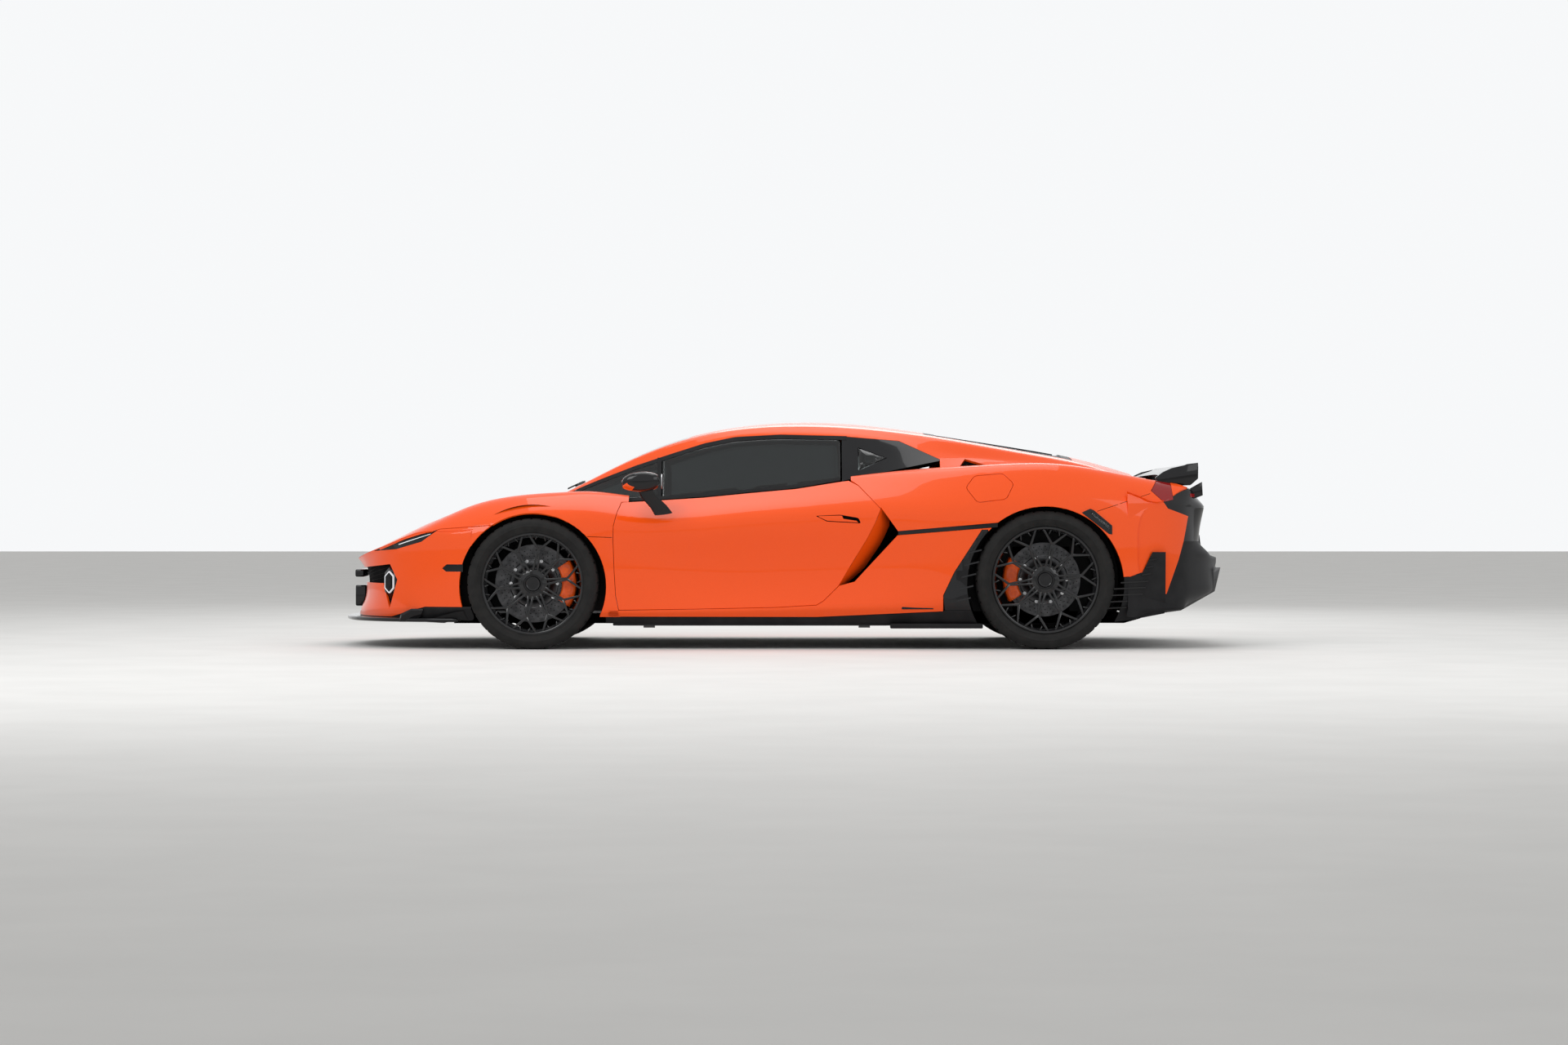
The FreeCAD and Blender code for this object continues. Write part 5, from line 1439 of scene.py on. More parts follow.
def padded(bm, name, fill):
    # swells a plain closed form into a stuffed one; skipped while quick
    mesh = bpy.data.meshes.new(name)
    bm.to_mesh(mesh)
    bm.free()
    form = bpy.data.objects.new(name, mesh)
    bpy.context.scene.collection.objects.link(form)
    remesh = form.modifiers.new("even", "REMESH")
    remesh.mode = "VOXEL"
    remesh.voxel_size = seatSet["voxel"]
    bpy.context.view_layer.update()
    even = bpy.data.meshes.new_from_object(form.evaluated_get(bpy.context.evaluated_depsgraph_get()))
    form.modifiers.clear()
    form.data = even
    start = [v.co.copy() for v in even.vertices]
    cloth = form.modifiers.new("stuffing", "CLOTH")
    cloth.settings.use_pressure = True
    cloth.settings.uniform_pressure_force = seatSet["pressure"]
    cloth.settings.effector_weights.gravity = 0
    cloth.settings.quality = 5
    scene = bpy.context.scene
    for number in range(1, 21):
        scene.frame_set(number)
    graph = bpy.context.evaluated_depsgraph_get()
    swollen = bpy.data.meshes.new_from_object(form.evaluated_get(graph))
    form.modifiers.clear()
    for v, was in zip(swollen.vertices, start):
        move = v.co - was
        if move.length > seatSet["reach"]:
            v.co = was + move.normalized() * seatSet["reach"]
    form.data = swollen
    scene.frame_set(1)
    made = bmesh.new()
    made.from_mesh(form.data)
    for _ in range(2):
        bmesh.ops.smooth_vert(made, verts=made.verts[:], factor=0.4, use_axis_x=True, use_axis_y=True,
                              use_axis_z=True)
    bpy.data.objects.remove(form)
    return made


def sewn(bm, lines, width, depth):
    # presses sewn channels into a pad; lines(co) gives the distance in mm to the nearest seam
    bm.normal_update()
    moves = {}
    for v in bm.verts:
        d = lines(v.co * 1000)
        if d < width:
            moves[v] = -v.normal * depth / 1000 * (1 - (d / width) ** 2)
    for v, move in moves.items():
        v.co += move


x0, x1, wide, z0, z1 = seatSet["cushion"]
bm = bmesh.new()
bmesh.ops.create_grid(bm, x_segments=10, y_segments=12, size=0.5)
for v in bm.verts:
    u, w = v.co.x + 0.5, v.co.y * 2
    side = max(0.0, abs(w) - 0.62) / 0.38
    v.co = mm(x0 + (x1 - x0) * u, -seatSet["side"] + w * wide * (1 - 0.06 * (1 - u)),
                   z1 - 22 + 46 * side * min(1, u * 2.4) + 14 * (1 - u) - 26 * max(0,
                                                                                   0.12 - u) / 0.12)
made = bmesh.ops.extrude_face_region(bm, geom=bm.faces[:])["geom"]
for v in vertsIn(made):
    v.co.z = z0 / 1000
outward(bm)
bm = padded(bm, "cushionForm", 0.7)
seamX = [-60, 0, 60, 120, 180, 240]


def cushionSeams(co):
    y = abs(co.y + seatSet["side"])
    if co.z < 240:
        return 99
    if y < 118:
        return min([abs(co.x - x) for x in seamX] + [118 - y])
    return y - 118


sewn(bm, cushionSeams, 7, 5)
other = twin(bm)
for form, side in ((bm, "Left"), (other, "Right")):
    pad = showPiece(form, "seatCushion" + side, leather, "chassis", ["seats"] if side == "Left" else [],
                    "seat_leather")

footX, footZ = seatSet["backFoot"]
headX, headZ = seatSet["backHead"]
lean = Vector((headX - footX, 0, headZ - footZ)).normalized()
front = Vector((-lean.z, 0, lean.x))
tall = math.hypot(headX - footX, headZ - footZ)
bm = bmesh.new()
bmesh.ops.create_grid(bm, x_segments=18, y_segments=12, size=0.5)
for v in bm.verts:
    u, w = v.co.x + 0.5, v.co.y * 2
    half = seatSet["halfWidth"]
    if u > 0.68:
        blend = min(1, (u - 0.68) / 0.12)
        half += (seatSet["headWidth"] - half) * blend * blend * (3 - 2 * blend)
    half *= 1 - 0.1 * max(0, u - 0.93) / 0.07
    side = max(0.0, abs(w) - 0.6) / 0.4
    lift = 20 + 44 * side * math.sin(math.pi * min(1, u / 0.74)) ** 0.6 * (u < 0.74) + 14 * (u > 0.82)
    spot = Vector((footX, 0, footZ)) + lean * tall * u + front * lift
    v.co = mm(spot.x, -seatSet["side"] + w * half, spot.z)
made = bmesh.ops.extrude_face_region(bm, geom=bm.faces[:])["geom"]
for v in vertsIn(made):
    along = (v.co * 1000 - Vector((footX, 0, footZ))).dot(lean)
    spot = Vector((footX, 0, footZ)) + lean * along - front * 30
    v.co.x, v.co.z = spot.x / 1000, spot.z / 1000
outward(bm)
bm = padded(bm, "backForm", 0.7)
seamZ = [330, 390, 450, 510, 570, 630, 690]


def backSeams(co):
    y = abs(co.y + seatSet["side"])
    if (co - Vector((footX, 0, footZ))).dot(front) < 8:
        return 99
    if co.z > 735:
        return abs(co.z - 742)
    if y < 112:
        return min([abs(co.z - z) for z in seamZ] + [112 - y])
    return y - 112


sewn(bm, backSeams, 7, 5)
other = twin(bm)
for form, side in ((bm, "Left"), (other, "Right")):
    pad = showPiece(form, "seatBack" + side, leather, "chassis", (), "seat_leather")

bm = bmesh.new()
stations = []
for u, half, thick in ((-0.02, 196, 10), (0.1, 214, 13), (0.4, 218, 14), (0.66, 206, 13), (0.8, 142, 12),
                       (0.95, 132, 11), (1.0, 108, 7)):
    spot = Vector((footX, -seatSet["side"], footZ)) + lean * tall * u - front * 46
    stations.append((spot / 1000, (0, half / 1000, 0), front * thick / 1000))
beam(bm, stations, sides=24)
roundBox(bm, (-140, -585, 147), (330, -155, 172), 10)
outward(bm)
showBoth(bm, "seatShells", carbonWeave, corner=40)
print("stage: seats")

# dashboard, screens, vents and console
dashSet = {"outline": [(-832, 566), (-520, 536), (-428, 566), (-424, 610), (-452, 664), (-536, 722),
                       (-620, 738),
                       (-800, 742), (-832, 716)], "half": 716}
bm = bmesh.new()
plate(bm, dashSet["outline"], -dashSet["half"], dashSet["half"], bevel=14, segments=3)
plate(bm, [(-700, 742), (-560, 768), (-470, 760), (-458, 742), (-470, 706), (-560, 700)], -548, -192,
      bevel=12,
      segments=3)
column = Vector((0.927, 0, 0.375))
wheelAt = Vector((-330, -370, 640))
beam(bm, [((wheelAt - column * along) / 1000, (0, 0.036, 0), Vector((-0.375, 0, 0.927)) * 0.036)
          for along in (150, 44)], sides=32)
beam(bm, [((wheelAt - column * along) / 1000, (0, 0.018, 0), Vector((-0.375, 0, 0.927)) * 0.018)
          for along in (60, 20)], sides=24)
outward(bm)
showPiece(bm, "dashShell", softTrim, "chassis", ["dashboard"], corner=40)
bm = bmesh.new()
plate(bm, [(-436, 330), (-436, 560), (-360, 548), (-250, 470), (-160, 398), (190, 372), (250, 330)], -97,
      97,
      bevel=12, segments=3)
showPiece(bm, "centreConsole", softTrim, corner=40)
bm = bmesh.new()
plate(bm, soften([(-520, 664), (-220, 664), (-214, 726), (-526, 726)], 10), -466, -461, (1, 2))
plate(bm, soften([(-92, 586), (92, 586), (92, 700), (-92, 700)], 10), -420, -412, (1, 2))
plate(bm, soften([(250, 640), (560, 640), (560, 672), (250, 672)], 8), -438, -434, (1, 2))
showPiece(bm, "dashScreens", screenGlow, corner=35)
bm = bmesh.new()
for y in (-650, -118, 118, 650):
    hexagon = [(y + 34 * math.cos(t * math.pi / 3), 706 + 20 * math.sin(t * math.pi / 3)) for t in range(6)]
    inner = shrink(hexagon, 5)
    bridged(bm, [[mm(x, p, q) for p, q in shape] for shape, x in
                 ((hexagon, -470), (hexagon, -446), (inner, -446), (inner, -470))])
    for z in (698, 706, 714):
        roundBox(bm, (-468, y - 26, z - 1), (-450, y + 26, z + 1), 0.6, 1)
plate(bm, [(-350, 548), (-250, 476), (-164, 404), (-168, 398), (-256, 468), (-352, 540)], -62, 62, bevel=2)
for k, y in enumerate((-44, -22, 0, 22, 44)):
    roundBox(bm, (-300 - 2 * k, y - 8, 515), (-280, y + 8, 528), 3, 2)
roundBox(bm, (-120, -34, 392), (-40, 34, 418), 9)
roundBox(bm, (40, -62, 378), (190, 62, 398), 9)
outward(bm)
showPiece(bm, "cabinSwitchgear", blackGloss, corner=35)

# steering wheel
bm = bmesh.new()
up = Vector((-0.375, 0, 0.927))
made = bmesh.ops.create_circle(bm, cap_ends=False, segments=20, radius=1)["verts"]
for v in made:
    v.co = (wheelAt + up * (172 + 14 * v.co.x) + column * 15 * v.co.y) / 1000
loop = list({e for v in made for e in v.link_edges})
bmesh.ops.spin(bm, geom=made + loop, cent=wheelAt / 1000, axis=column, angle=math.tau, steps=72,
               use_merge=True,
               use_duplicate=False)
for v in bm.verts:
    low = (v.co * 1000 - wheelAt).dot(up)
    if low < -138:
        v.co += up * (-138 - low) * 0.72 / 1000
outward(bm)
showPiece(bm, "steeringRim", leather, "steering", ["steering_wheel"])
bm = bmesh.new()
beam(bm, [((wheelAt + column * along) / 1000, (0, wide / 1000, 0), up * high / 1000)
          for along, wide, high in ((-22, 40, 40), (-4, 58, 46), (8, 54, 42), (13, 40, 32))], sides=24)
for way, reach in ((Vector((0, -1, 0)), 164), (Vector((0, 1, 0)), 164), (-up, 134)):
    across = column.cross(way)
    beam(bm, [((wheelAt + way * r + column * 1) / 1000, across * wide / 1000, column * 0.006)
              for r, wide in ((38, 26), (90, 15), (reach, 13))], sides=4)
for side in (-1, 1):
    beam(bm, [((wheelAt - column * 24 + Vector((0, side * 96, 0)) + up * r) / 1000, (0, 0.02, 0),
               column * 0.003)
              for r in (-30, 40, 76)], sides=4)
    for r in (-16, 0, 16):
        spot = wheelAt + column * 9 + Vector((0, side * 74, 0)) + up * r
        beam(bm, [((spot + column * k) / 1000, (0, 0.006, 0), up * 0.006) for k in (-3, 2)], sides=12)
outward(bm)
showPiece(bm, "steeringHub", blackSatin, "steering", (), "trim", corner=35)

# door cards
cardOutline = shrink(doorOutline, 16)
cardSet = {"flatY": -853, "topY": -747, "kneeZ": 590, "topZ": 800}
bm = bmesh.new()
bmesh.ops.create_grid(bm, x_segments=70, y_segments=34, size=0.5)
for v in bm.verts:
    x, z = -880 + (v.co.x + 0.5) * 1400, 195 + (v.co.y + 0.5) * 700
    rise = max(0.0, min(1.0, (z - cardSet["kneeZ"]) / (cardSet["topZ"] - cardSet["kneeZ"])))
    y = cardSet["flatY"] + (cardSet["topY"] - cardSet["flatY"]) * rise
    swell = math.exp(-((z - 560) / 34) ** 2)
    swell /= (1 + math.exp(-(x + 520) / 40)) * (1 + math.exp((x - 160) / 40))
    v.co = mm(x, y + 46 * swell, z)
facing(bm, (0, 1, 0))
cutOut(bm, cardOutline)
rollEdge(bm, ((1, 1), (1.4, 4), (1.4, 34)))
showPair(bm, "doorCard", softTrim)
bm = bmesh.new()
beam(bm, [(mm(x, y, z), (0, 0.006, 0), (0, 0, 0.011))
          for x, y, z in ((-330, -842, 640), (-318, -792, 646), (-180, -784, 650), (-42, -792, 646),
                          (-30, -842, 640))], sides=10)
ringProfile(bm, [(82, -852), (82, -842), (76, -838), (70, -840), (66, -849), (0, -847)], (-640, 0, 340),
            steps=48)
plate(bm, [(-720, 470), (-420, 500), (240, 520), (250, 504), (-420, 484), (-716, 452)], -853, -846, bevel=2)
outward(bm)
showPair(bm, "doorTrim", orangeLeather, corner=40)

# headliner, bulkhead behind the seats and the luggage tub
bm = skinCopy(canopySkin, "both")
cutOut(bm, fullPlan([(-455, 0), (-470, 300), (-486, 545), (-300, 560), (330, 560), (545, 540), (545, 0)]),
       (0, 1))
inward(bm, 36)
bmesh.ops.reverse_faces(bm, faces=bm.faces[:])
showPiece(bm, "headliner", softTrim)
bm = bmesh.new()
wallHalf = [(0, 831), (620, 831), (590, 1000), (520, 1100), (0, 1130)]
plate(bm, wallHalf + [(-y, z) for y, z in reversed(wallHalf) if y], 550, 558, (1, 2), bevel=2)
for y0, y1 in ((-420, -40), (40, 420)):
    roundBox(bm, (542, y0, 860), (552, y1, 1040), 4)
outward(bm)
showPiece(bm, "cabinBulkhead", softTrim, corner=40)
bm = bmesh.new()
plate(bm, [(-1995, 264), (-1172, 264), (-1172, 560), (-1176, 560), (-1176, 268), (-1991, 268), (-1991, 520),
           (-1995, 520)], -515, 515)
for y in (-519, 515):
    plate(bm, [(-1995, 264), (-1172, 264), (-1172, 560), (-1700, 560), (-1995, 500)], y, y + 4)
outward(bm)
showPiece(bm, "luggageLiner", softTrim, corner=35)
print("stage: cabin")

# near-black trays at the engine bay's sides over the rear wheels: painted shade in the bay and wells
bm = bmesh.new()
plate(bm, [(560, -872), (1560, -872), (1560, -560), (1300, -470), (560, -560)], 842, 848, (0, 1))
plate(bm, [(1560, -872), (1860, -850), (1860, -430), (1300, -470), (1560, -560)], 800, 806, (0, 1))
showBoth(bm, "bayShelves", jointAndShadeBlack, corner=40)

# engine top: plenums, runners and covers over the block
bm = bmesh.new()
for side in (-1, 1):
    low, high = sorted((side * 70, side * 215))
    roundBox(bm, (640, low, 872), (1180, high, 938), 22, 4)
    for k in range(4):
        x = 700 + 135 * k
        beam(bm, [(mm(x, side * y, z), (0.026, 0, 0), Vector((0, side * dy, dz)) * 0.021)
                  for y, z, dy, dz in ((60, 912, 0, 1), (20, 926, 0, 1), (0, 926, 0, 1))], sides=16)
    roundBox(bm, (650, side * 290 - 34, 600), (1170, side * 290 + 34, 690), 14, 3)
    roundBox(bm, (640, side * 335 - 12, 700), (1180, side * 335 + 12, 820), 10, 3)
roundBox(bm, (1228, -200, 560), (1560, 200, 780), 40, 4)
roundBox(bm, (1560, -90, 600), (1640, 90, 760), 26, 4)
outward(bm)
showPiece(bm, "engineTop", castAlloy, corner=40)
bm = bmesh.new()
for side in (-1, 1):
    low, high = sorted((side * 84, side * 200))
    roundBox(bm, (670, low, 936), (1150, high, 950), 6, 2)
    beam(bm, [(mm(x, side * y, z), (0, 0.055, 0), (0, 0, 0.055))
              for x, y, z in ((1190, 150, 905), (1300, 190, 890), (1420, 300, 850),
                              (1480, 420, 820))], sides=20)
outward(bm)
showPiece(bm, "engineCaps", carbonWeave, corner=40)

# inner skins under the lids, and the filler recess behind the fuel flap
bm = skinCopy(hullSkin, "both")
cutOut(bm, shrink(fullPlan(bonnetPlan), 22), (0, 1))
cutOut(bm, [(-2400, 380), (-1200, 380), (-1200, 1000), (-2400, 1000)], (0, 2))
inward(bm, 16)
bmesh.ops.reverse_faces(bm, faces=bm.faces[:])
showPiece(bm, "bonnetLining", blackSatin, "bonnet_lid")
bm = skinCopy(hullSkin)
cutOut(bm, shrink(flapOutline, -4))
inward(bm, 50)
out = Vector((0, -0.851, 0.525))
walls = bmesh.ops.extrude_edge_only(bm, edges=[e for e in bm.edges if e.is_boundary])["geom"]
for v in vertsIn(walls):
    v.co += out * 0.046
for radius, high in ((0.056, 0.016), (0.04, 0.034)):
    bmesh.ops.create_cone(bm, cap_ends=True, segments=40, radius1=radius, radius2=radius * 0.92, depth=high,
                          matrix=Matrix.Translation(spotOn(1076, 838) - out * (0.05 - high / 2))
                          @ out.to_track_quat("Z", "Y").to_matrix().to_4x4())
showPiece(bm, "fillerRecess", blackSatin, corner=40)
print("stage: engine bay and linings")


# wheels, tyres, discs and calipers
wheelSet = {
    "front": {"x": -1294, "y": 861, "z": 340, "tyre": 340, "half": 127, "rim": 260, "disc": 203,
              "inner": 88,
              "start": 8, "caliper": 1},
    "rear": {"x": 1364, "y": 835, "z": 360, "tyre": 360, "half": 162, "rim": 273, "disc": 193, "inner": 112,
             "start": 7, "caliper": -1},
}


treadSet = {"grooves": (-0.44, -0.15, 0.15, 0.44), "steps": 200, "slotDepth": 0.005}


def tyreForm(wheel):
    r, w, bead = wheel["tyre"], wheel["half"], wheel["rim"] + 3
    wall = r - bead
    side = [(bead - 8, 0.80), (bead, 0.86), (bead + 5, 0.885), (bead + 6.5, 0.905), (bead + 9, 0.905),
            (bead + 11, 0.915), (bead + wall * 0.3, 0.965), (bead + wall * 0.45, 0.99), (bead + wall * 0.47,
                                                                                         0.995),
            (bead + wall * 0.49, 0.99), (bead + wall * 0.6, 0.985), (bead + wall * 0.75, 0.96), (r - 13,
                                                                                                 0.925),
            (r - 12, 0.92), (r - 6.5, 0.885), (r - 2.6, 0.83), (r - 1.6, 0.78), (r - 1.0, 0.70), (r - 0.6,
                                                                                                  0.60)]
    points = [(q, -s * w) for q, s in side]
    for groove in treadSet["grooves"]:
        g = groove * w
        points += [(r - 0.3, g - 5.0), (r - 6.5, g - 4.0), (r - 6.5, g + 4.0), (r - 0.3, g + 5.0)]
    points += [(q, s * w) for q, s in reversed(side)]
    bm = bmesh.new()
    ringProfile(bm, points, (0, 0, 0), steps=treadSet["steps"])
    outward(bm)
    slots = []
    for f in bm.faces:
        c = f.calc_center_median()
        share = abs(c.y) * 1000 / w
        step = int(round((math.atan2(c.z, c.x) / math.tau * treadSet["steps"]) - 0.5)) % treadSet["steps"]
        if (0.50 < share < 0.86 and step % 5 == 0) or (share < 0.12 and step % 5 == 2):
            slots.append(f)
    made = bmesh.ops.extrude_face_region(bm, geom=slots)["geom"]
    for v in vertsIn(made):
        out = Vector((v.co.x, 0, v.co.z)).normalized()
        v.co -= out * treadSet["slotDepth"]
    bmesh.ops.delete(bm, geom=[f for f in slots if f.is_valid], context="FACES")
    return bm


def rimForm(wheel):
    rim, w = wheel["rim"], wheel["half"]
    edge = w - 16
    bm = bmesh.new()
    barrel = [(rim + 1, -edge + 9), (rim + 3.5, -edge + 3), (rim + 2.5, -edge), (rim - 3, -edge - 0.5),
              (rim - 8, -edge + 2), (rim - 11, -edge + 9), (rim - 12, -edge + 20), (rim - 20, -edge + 42),
              (rim - 23, 0), (rim - 20, edge * 0.5), (rim - 11, edge - 16), (rim - 4, edge - 2), (rim + 1,
                                                                                                  edge),
              (rim + 2, edge - 8), (rim - 6, edge - 14), (rim - 15, edge * 0.5), (rim - 18, 0),
              (rim - 15, -edge + 46), (rim - 6, -edge + 22)]
    ringProfile(bm, barrel, (0, 0, 0), steps=128, closed=True)
    face = -edge + 36
    hub = [(0, face - 2), (30, face - 2), (33, face - 4), (36, face - 4), (38, face - 1), (40, face + 6),
           (47, face + 6), (49, face - 1), (66, face + 1), (73, face + 5), (76, face + 12), (76, face + 34),
           (60, face + 40), (0, face + 40)]
    ringProfile(bm, hub, (0, 0, 0), steps=64)
    bmesh.ops.remove_doubles(bm, verts=bm.verts[:], dist=0.00001)
    outward(bm)
    hubX, forkR, tipR = 66, rim * 0.705, rim - 9

    def rib(fromR, fromA, toR, toA, wide1, wide2, deep1, deep2, y1, y2):
        # one bar of a spoke, square in section with softened edges
        stations = []
        for t in (0.0, 0.33, 0.66, 1.0):
            a, b = math.radians(fromA), math.radians(toA)
            p = Vector((fromR * math.cos(a), 0, fromR * math.sin(a)))
            q = Vector((toR * math.cos(b), 0, toR * math.sin(b)))
            along = (q - p).normalized()
            across = Vector((-along.z, 0, along.x))
            spot = p.lerp(q, t) / 1000
            deep = (deep1 + (deep2 - deep1) * t) / 1000
            bow = -3.0 * math.sin(math.pi * t)
            spot.y = (y1 + (y2 - y1) * t + bow) / 1000 + deep
            wide = (wide1 + (wide2 - wide1) * t) / 1000
            stations.append((spot, across * wide, Vector((0, deep, 0))))
        verts = beam(bm, stations)
        bevelled(bm, foldsOf({e for v in verts for e in v.link_edges}, 0.9), 1.6)

    for k in range(10):
        a = wheel["start"] + 36 * k
        for s in (-1, 1):
            rib(hubX, a + s * 11, forkR + 6, a + s * 0.7, 5.5, 5.2, 14, 11, face + 1, -edge + 25)
            rib(forkR - 6, a - s * 0.4, tipR, a + s * 13.6, 6.5, 5.0, 11, 9, -edge + 25, -edge + 9)
            rib(forkR + 44, a + s * 7.2, tipR, a + s * 4.2, 3.2, 3.0, 6, 6, -edge + 22, -edge + 14)
    for k in range(5):
        a = math.radians(wheel["start"] + 18 + 72 * k)
        stud(bm, (56 * math.cos(a), face + 2, 56 * math.sin(a)), 9.5, 8.8, 14, 6)
    return bm


def discForm(wheel):
    bm = bmesh.new()
    r, y = wheel["disc"], 25
    ringProfile(bm, [(r, y), (r + 1, y + 1), (r + 1, y + 12), (r, y + 13), (128, y + 13), (128, y + 1),
                     (128, y)],
                (0, 0, 0), steps=96, closed=True)
    ringProfile(bm, [(r, y + 21), (r + 1, y + 22), (r + 1, y + 32), (r, y + 33), (128, y + 33),
                     (128, y + 21)],
                (0, 0, 0), steps=96, closed=True)
    ringProfile(bm, [(r - 8, y + 12), (r - 8, y + 22), (134, y + 22), (134, y + 12)], (0, 0, 0), steps=96,
                closed=True)
    ringProfile(bm, [(60, y - 20), (84, y - 20), (92, y - 8), (116, y + 4), (124, y + 4), (124, y + 28),
                     (112, y + 28),
                     (60, y + 2)], (0, 0, 0), steps=96, closed=True)
    outward(bm)
    return bm


def discDetail(wheel):
    # bobbins round the bell
    bm = bmesh.new()
    for k in range(10):
        a = math.tau * k / 10
        stud(bm, (121 * math.cos(a), 25, 121 * math.sin(a)), 8.5, 8.5, 8, 16)
    return bm


def discHoles(wheel):
    # near-black discs on the disc face where the drilled holes are: painted shade standing for the holes
    bm = bmesh.new()
    for k in range(36):
        for j, r in enumerate((142, 158, 174)):
            if r > wheel["disc"] - 14:
                continue
            a = math.tau * (k + j / 3) / 36
            spot = mm(r * math.cos(a), 24.8, r * math.sin(a))
            bmesh.ops.create_circle(bm, cap_ends=True, segments=10, radius=0.0028,
                                    matrix=Matrix.Translation(spot) @ Matrix.Rotation(math.pi / 2, 4, "X"))
    facing(bm, (0, -1, 0))
    return bm


def caliperForm(wheel):
    # arc shaped body over the disc with ribs and a bridge, on the axle's chosen side
    bm = bmesh.new()
    d = wheel["disc"]
    outer = d + 22
    profile = [(d - 54, 17), (d - 54, -38), (d - 46, -46), (d + 2, -46), (outer - 5, -38), (outer, -28),
               (outer, 46), (outer - 6, 55), (d + 7, 55), (d + 7, 17)]
    verts = [bmesh.ops.create_vert(bm, co=Vector((r / 1000, y / 1000, 0)))["vert"][0] for r, y in profile]
    bmesh.ops.contextual_create(bm, geom=verts)
    half = math.radians(33)
    bmesh.ops.rotate(bm, cent=(0, 0, 0), matrix=Matrix.Rotation(-half, 3, "Y"), verts=bm.verts[:])
    geom = bm.verts[:] + bm.edges[:] + bm.faces[:]
    bmesh.ops.spin(bm, geom=geom, cent=(0, 0, 0), axis=(0, 1, 0), angle=2 * half, steps=14, use_merge=False,
                   use_duplicate=False)
    bmesh.ops.remove_doubles(bm, verts=bm.verts[:], dist=0.00001)
    bmesh.ops.holes_fill(bm, edges=[e for e in bm.edges if e.is_boundary], sides=0)
    outward(bm)
    bevelled(bm, foldsOf(bm.edges, 0.7), 3)
    for a in (-22, -8, 8, 22):
        t = math.radians(a)
        stud(bm, (math.cos(t) * (d - 20), -45, math.sin(t) * (d - 20)), 18, 16.5, 6, 24)
    if wheel["caliper"] < 0:
        bmesh.ops.scale(bm, vec=(-1, 1, 1), verts=bm.verts[:])
        bmesh.ops.reverse_faces(bm, faces=bm.faces[:])
    return bm


wheelBodies = {"frontleft": "wheel_fl", "frontright": "wheel_fr", "rearleft": "wheel_rl",
               "rearright": "wheel_rr"}
wheelParts = (("Tyre", tyreForm, rubber, "tyre_rubber"), ("Rim", rimForm, rimBlack, "rim_black"),
              ("Disc", discForm, shadedDiscSteel, "steel"), ("Bobbins", discDetail, brightMetal, "steel"),
              ("DiscHoles", discHoles, jointAndShadeBlack, "black_satin"),
              ("Caliper", caliperForm, caliperPaint, "caliper_orange"))
for end, wheel in wheelSet.items():
    for part, make, material, slotName in wheelParts:
        bm = make(wheel)
        bmesh.ops.translate(bm, verts=bm.verts[:], vec=mm(wheel["x"], -wheel["y"], wheel["z"]))
        other = twin(bm)
        for form, side in ((bm, "left"), (other, "right")):
            stands, rider = (), wheelBodies[end + side]
            if part in ("Tyre", "Rim"):
                stands = ["%s_%s_%s" % (end, {"Tyre": "tyre", "Rim": "wheel"}[part], side)]
            elif part == "Caliper":
                rider = "chassis" if end == "rear" else "steer_" + side
                stands = ["front_caliper_" + side] if end == "front" else []
                if end == "rear" and side == "left":
                    stands = ["rear_calipers"]
            showPiece(form, end + side.capitalize() + part, material, rider, stands, slotName, corner=33,
                      merge=0)
print("stage: wheels")

# camera, light and floor
stageSet = {
    "cameraAt": (0.009, -18.935, 0.658), "lens": 79.65,
    "floorColour": (0.82, 0.82, 0.81), "worldLight": 0.5,
    "key": ((-4.5, -6.5, 6.0), 230, 4.0), "fill": ((5.5, -6.0, 4.0), 90, 4.0), "top": ((0, 0.5, 7.0), 170,
                                                                                       5.0),
    "back": ((1.0, 6.5, 4.5), 90, 4.0),
}
camera = bpy.data.objects.new("camera", bpy.data.cameras.new("camera"))
bpy.context.scene.collection.objects.link(camera)
camera.location = stageSet["cameraAt"]
camera.rotation_euler = (math.radians(90), 0, 0)
camera.data.lens = stageSet["lens"]
camera.data.sensor_width = 36
camera.data.clip_end = 200
bpy.context.scene.camera = camera

bm = bmesh.new()
bmesh.ops.create_grid(bm, x_segments=1, y_segments=1, size=60)
floorMesh = bpy.data.meshes.new("floor")
bm.to_mesh(floorMesh)
bm.free()
floor = bpy.data.objects.new("floor", floorMesh)
bpy.context.scene.collection.objects.link(floor)
floorMaterial = newMaterial("floorPaint", stageSet["floorColour"], 0.75)
addVariation(floorMaterial, (0.8, 0.8, 0.79), (0.84, 0.84, 0.83), 2, 0.7, 0.8)
floorMesh.materials.append(floorMaterial)
floor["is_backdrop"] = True

world = bpy.data.worlds.new("studio")
bpy.context.scene.world = world
world.use_nodes = True
tree = world.node_tree
tree.nodes.clear()
rays = tree.nodes.new("ShaderNodeLightPath")
either = tree.nodes.new("ShaderNodeMath")
either.operation = "MAXIMUM"
either2 = tree.nodes.new("ShaderNodeMath")
either2.operation = "MAXIMUM"
tree.links.new(rays.outputs["Is Camera Ray"], either.inputs[0])
tree.links.new(rays.outputs["Is Transmission Ray"], either.inputs[1])
tree.links.new(either.outputs[0], either2.inputs[0])
tree.links.new(rays.outputs["Is Glossy Ray"], either2.inputs[1])
soft = tree.nodes.new("ShaderNodeBackground")
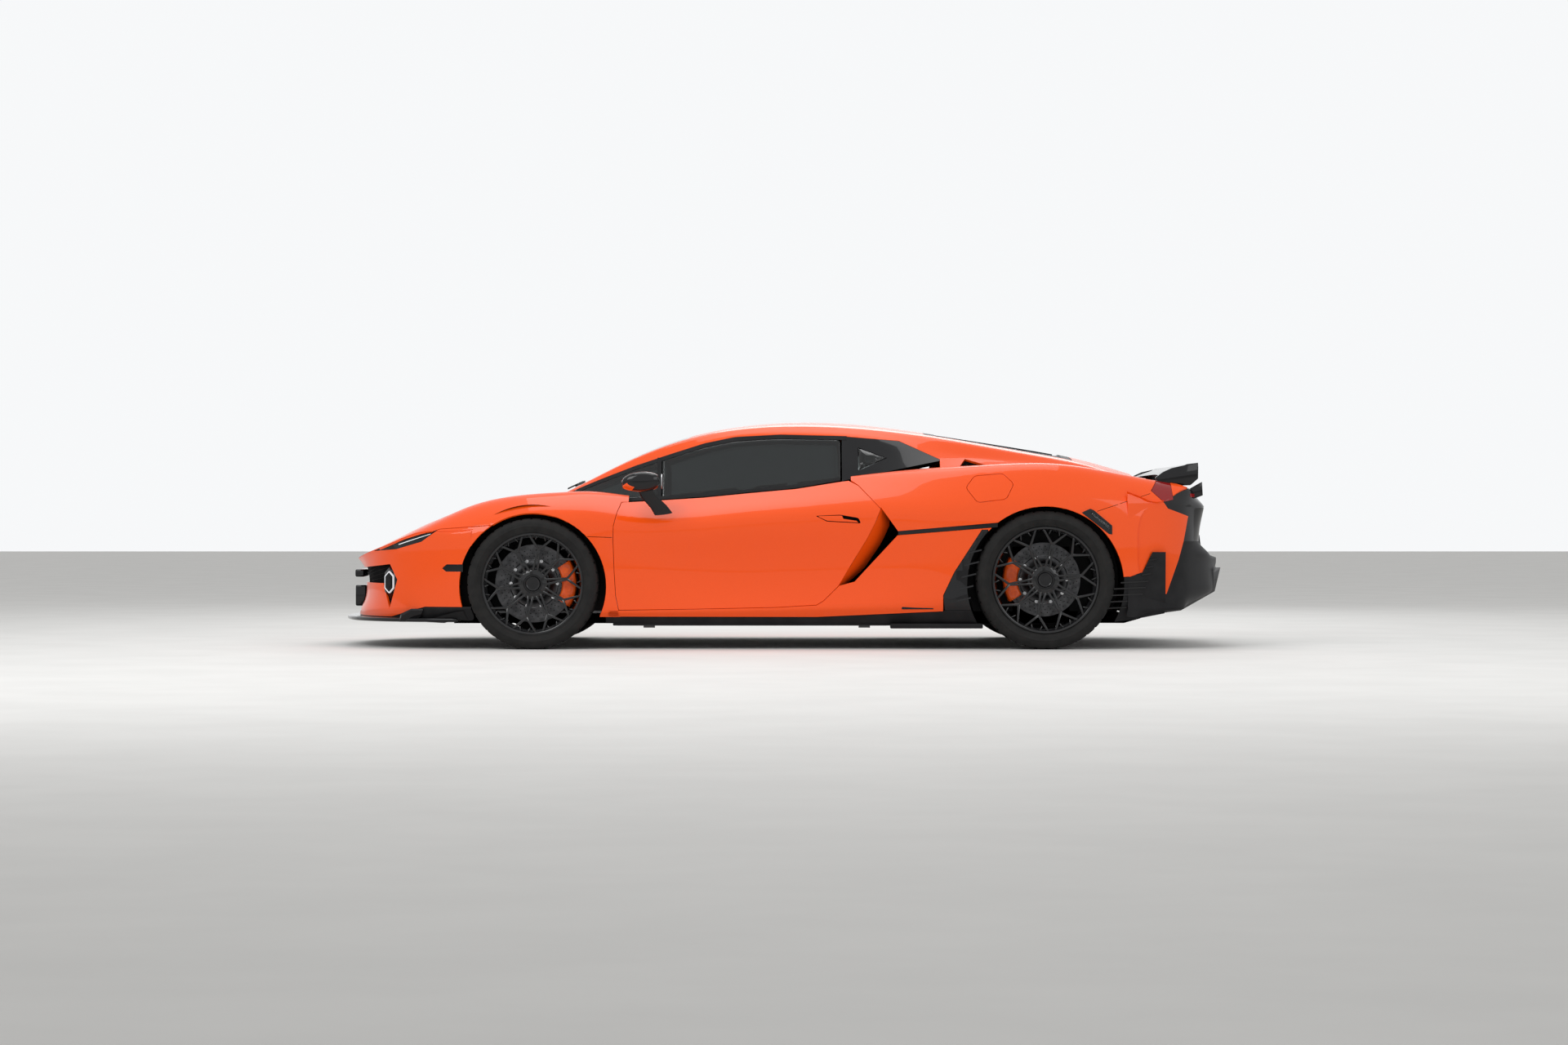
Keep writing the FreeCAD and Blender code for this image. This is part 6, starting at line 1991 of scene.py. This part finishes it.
soft.inputs["Color"].default_value = (1, 0.99, 0.97, 1)
soft.inputs["Strength"].default_value = stageSet["worldLight"]
plain = tree.nodes.new("ShaderNodeBackground")
plain.inputs["Color"].default_value = (0.93, 0.94, 0.95, 1)
plain.inputs["Strength"].default_value = 1
mix = tree.nodes.new("ShaderNodeMixShader")
tree.links.new(either2.outputs[0], mix.inputs[0])
tree.links.new(soft.outputs[0], mix.inputs[1])
tree.links.new(plain.outputs[0], mix.inputs[2])
out = tree.nodes.new("ShaderNodeOutputWorld")
tree.links.new(mix.outputs[0], out.inputs[0])

for name in ("key", "fill", "top", "back"):
    at, power, size = stageSet[name]
    lamp = bpy.data.lights.new(name, "AREA")
    lamp.shape = "RECTANGLE"
    lamp.size = lamp.size_y = size
    lamp.energy = power
    lampObject = bpy.data.objects.new(name, lamp)
    bpy.context.scene.collection.objects.link(lampObject)
    lampObject.location = at
    aim = Vector((0, 0, 0.4)) - Vector(at)
    lampObject.rotation_euler = aim.to_track_quat("-Z", "Y").to_euler()
bpy.context.scene.view_settings.view_transform = "Standard"
print("stage: camera and light")

# CAD nodes that stay get finishes
finishOf = {
    "front_bumper": orangePaint, "rear_bumper": orangePaint, "engine_cover": blackGloss,
    "side_sills": blackSatin, "side_outlets": blackGloss, "mirror_left": blackGloss,
    "mirror_right": blackGloss,
    "rear_wing": blackGloss, "headlamps": blackGloss, "tail_lamps": redLens, "front_splitter": blackSatin,
    "diffuser": blackSatin, "arch_liners": blackSatin, "cowl": blackSatin, "tub": carbonWeave,
    "front_frame": castAlloy, "rear_frame": castAlloy, "engine": castAlloy, "seats": leather,
    "dashboard": softTrim, "steering_wheel": leather, "exhaust_pipes": exhaustSteel,
}
for node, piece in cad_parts.items():
    material = finishOf.get(node)
    if material is None:
        if "tyre" in node:
            material = rubber
        elif "wheel" in node:
            material = rimBlack
        elif "caliper" in node:
            material = caliperPaint
        else:
            material = castAlloy
    piece.data.materials.clear()
    piece.data.materials.append(material)
print("stage: finishes on CAD nodes")

low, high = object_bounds()
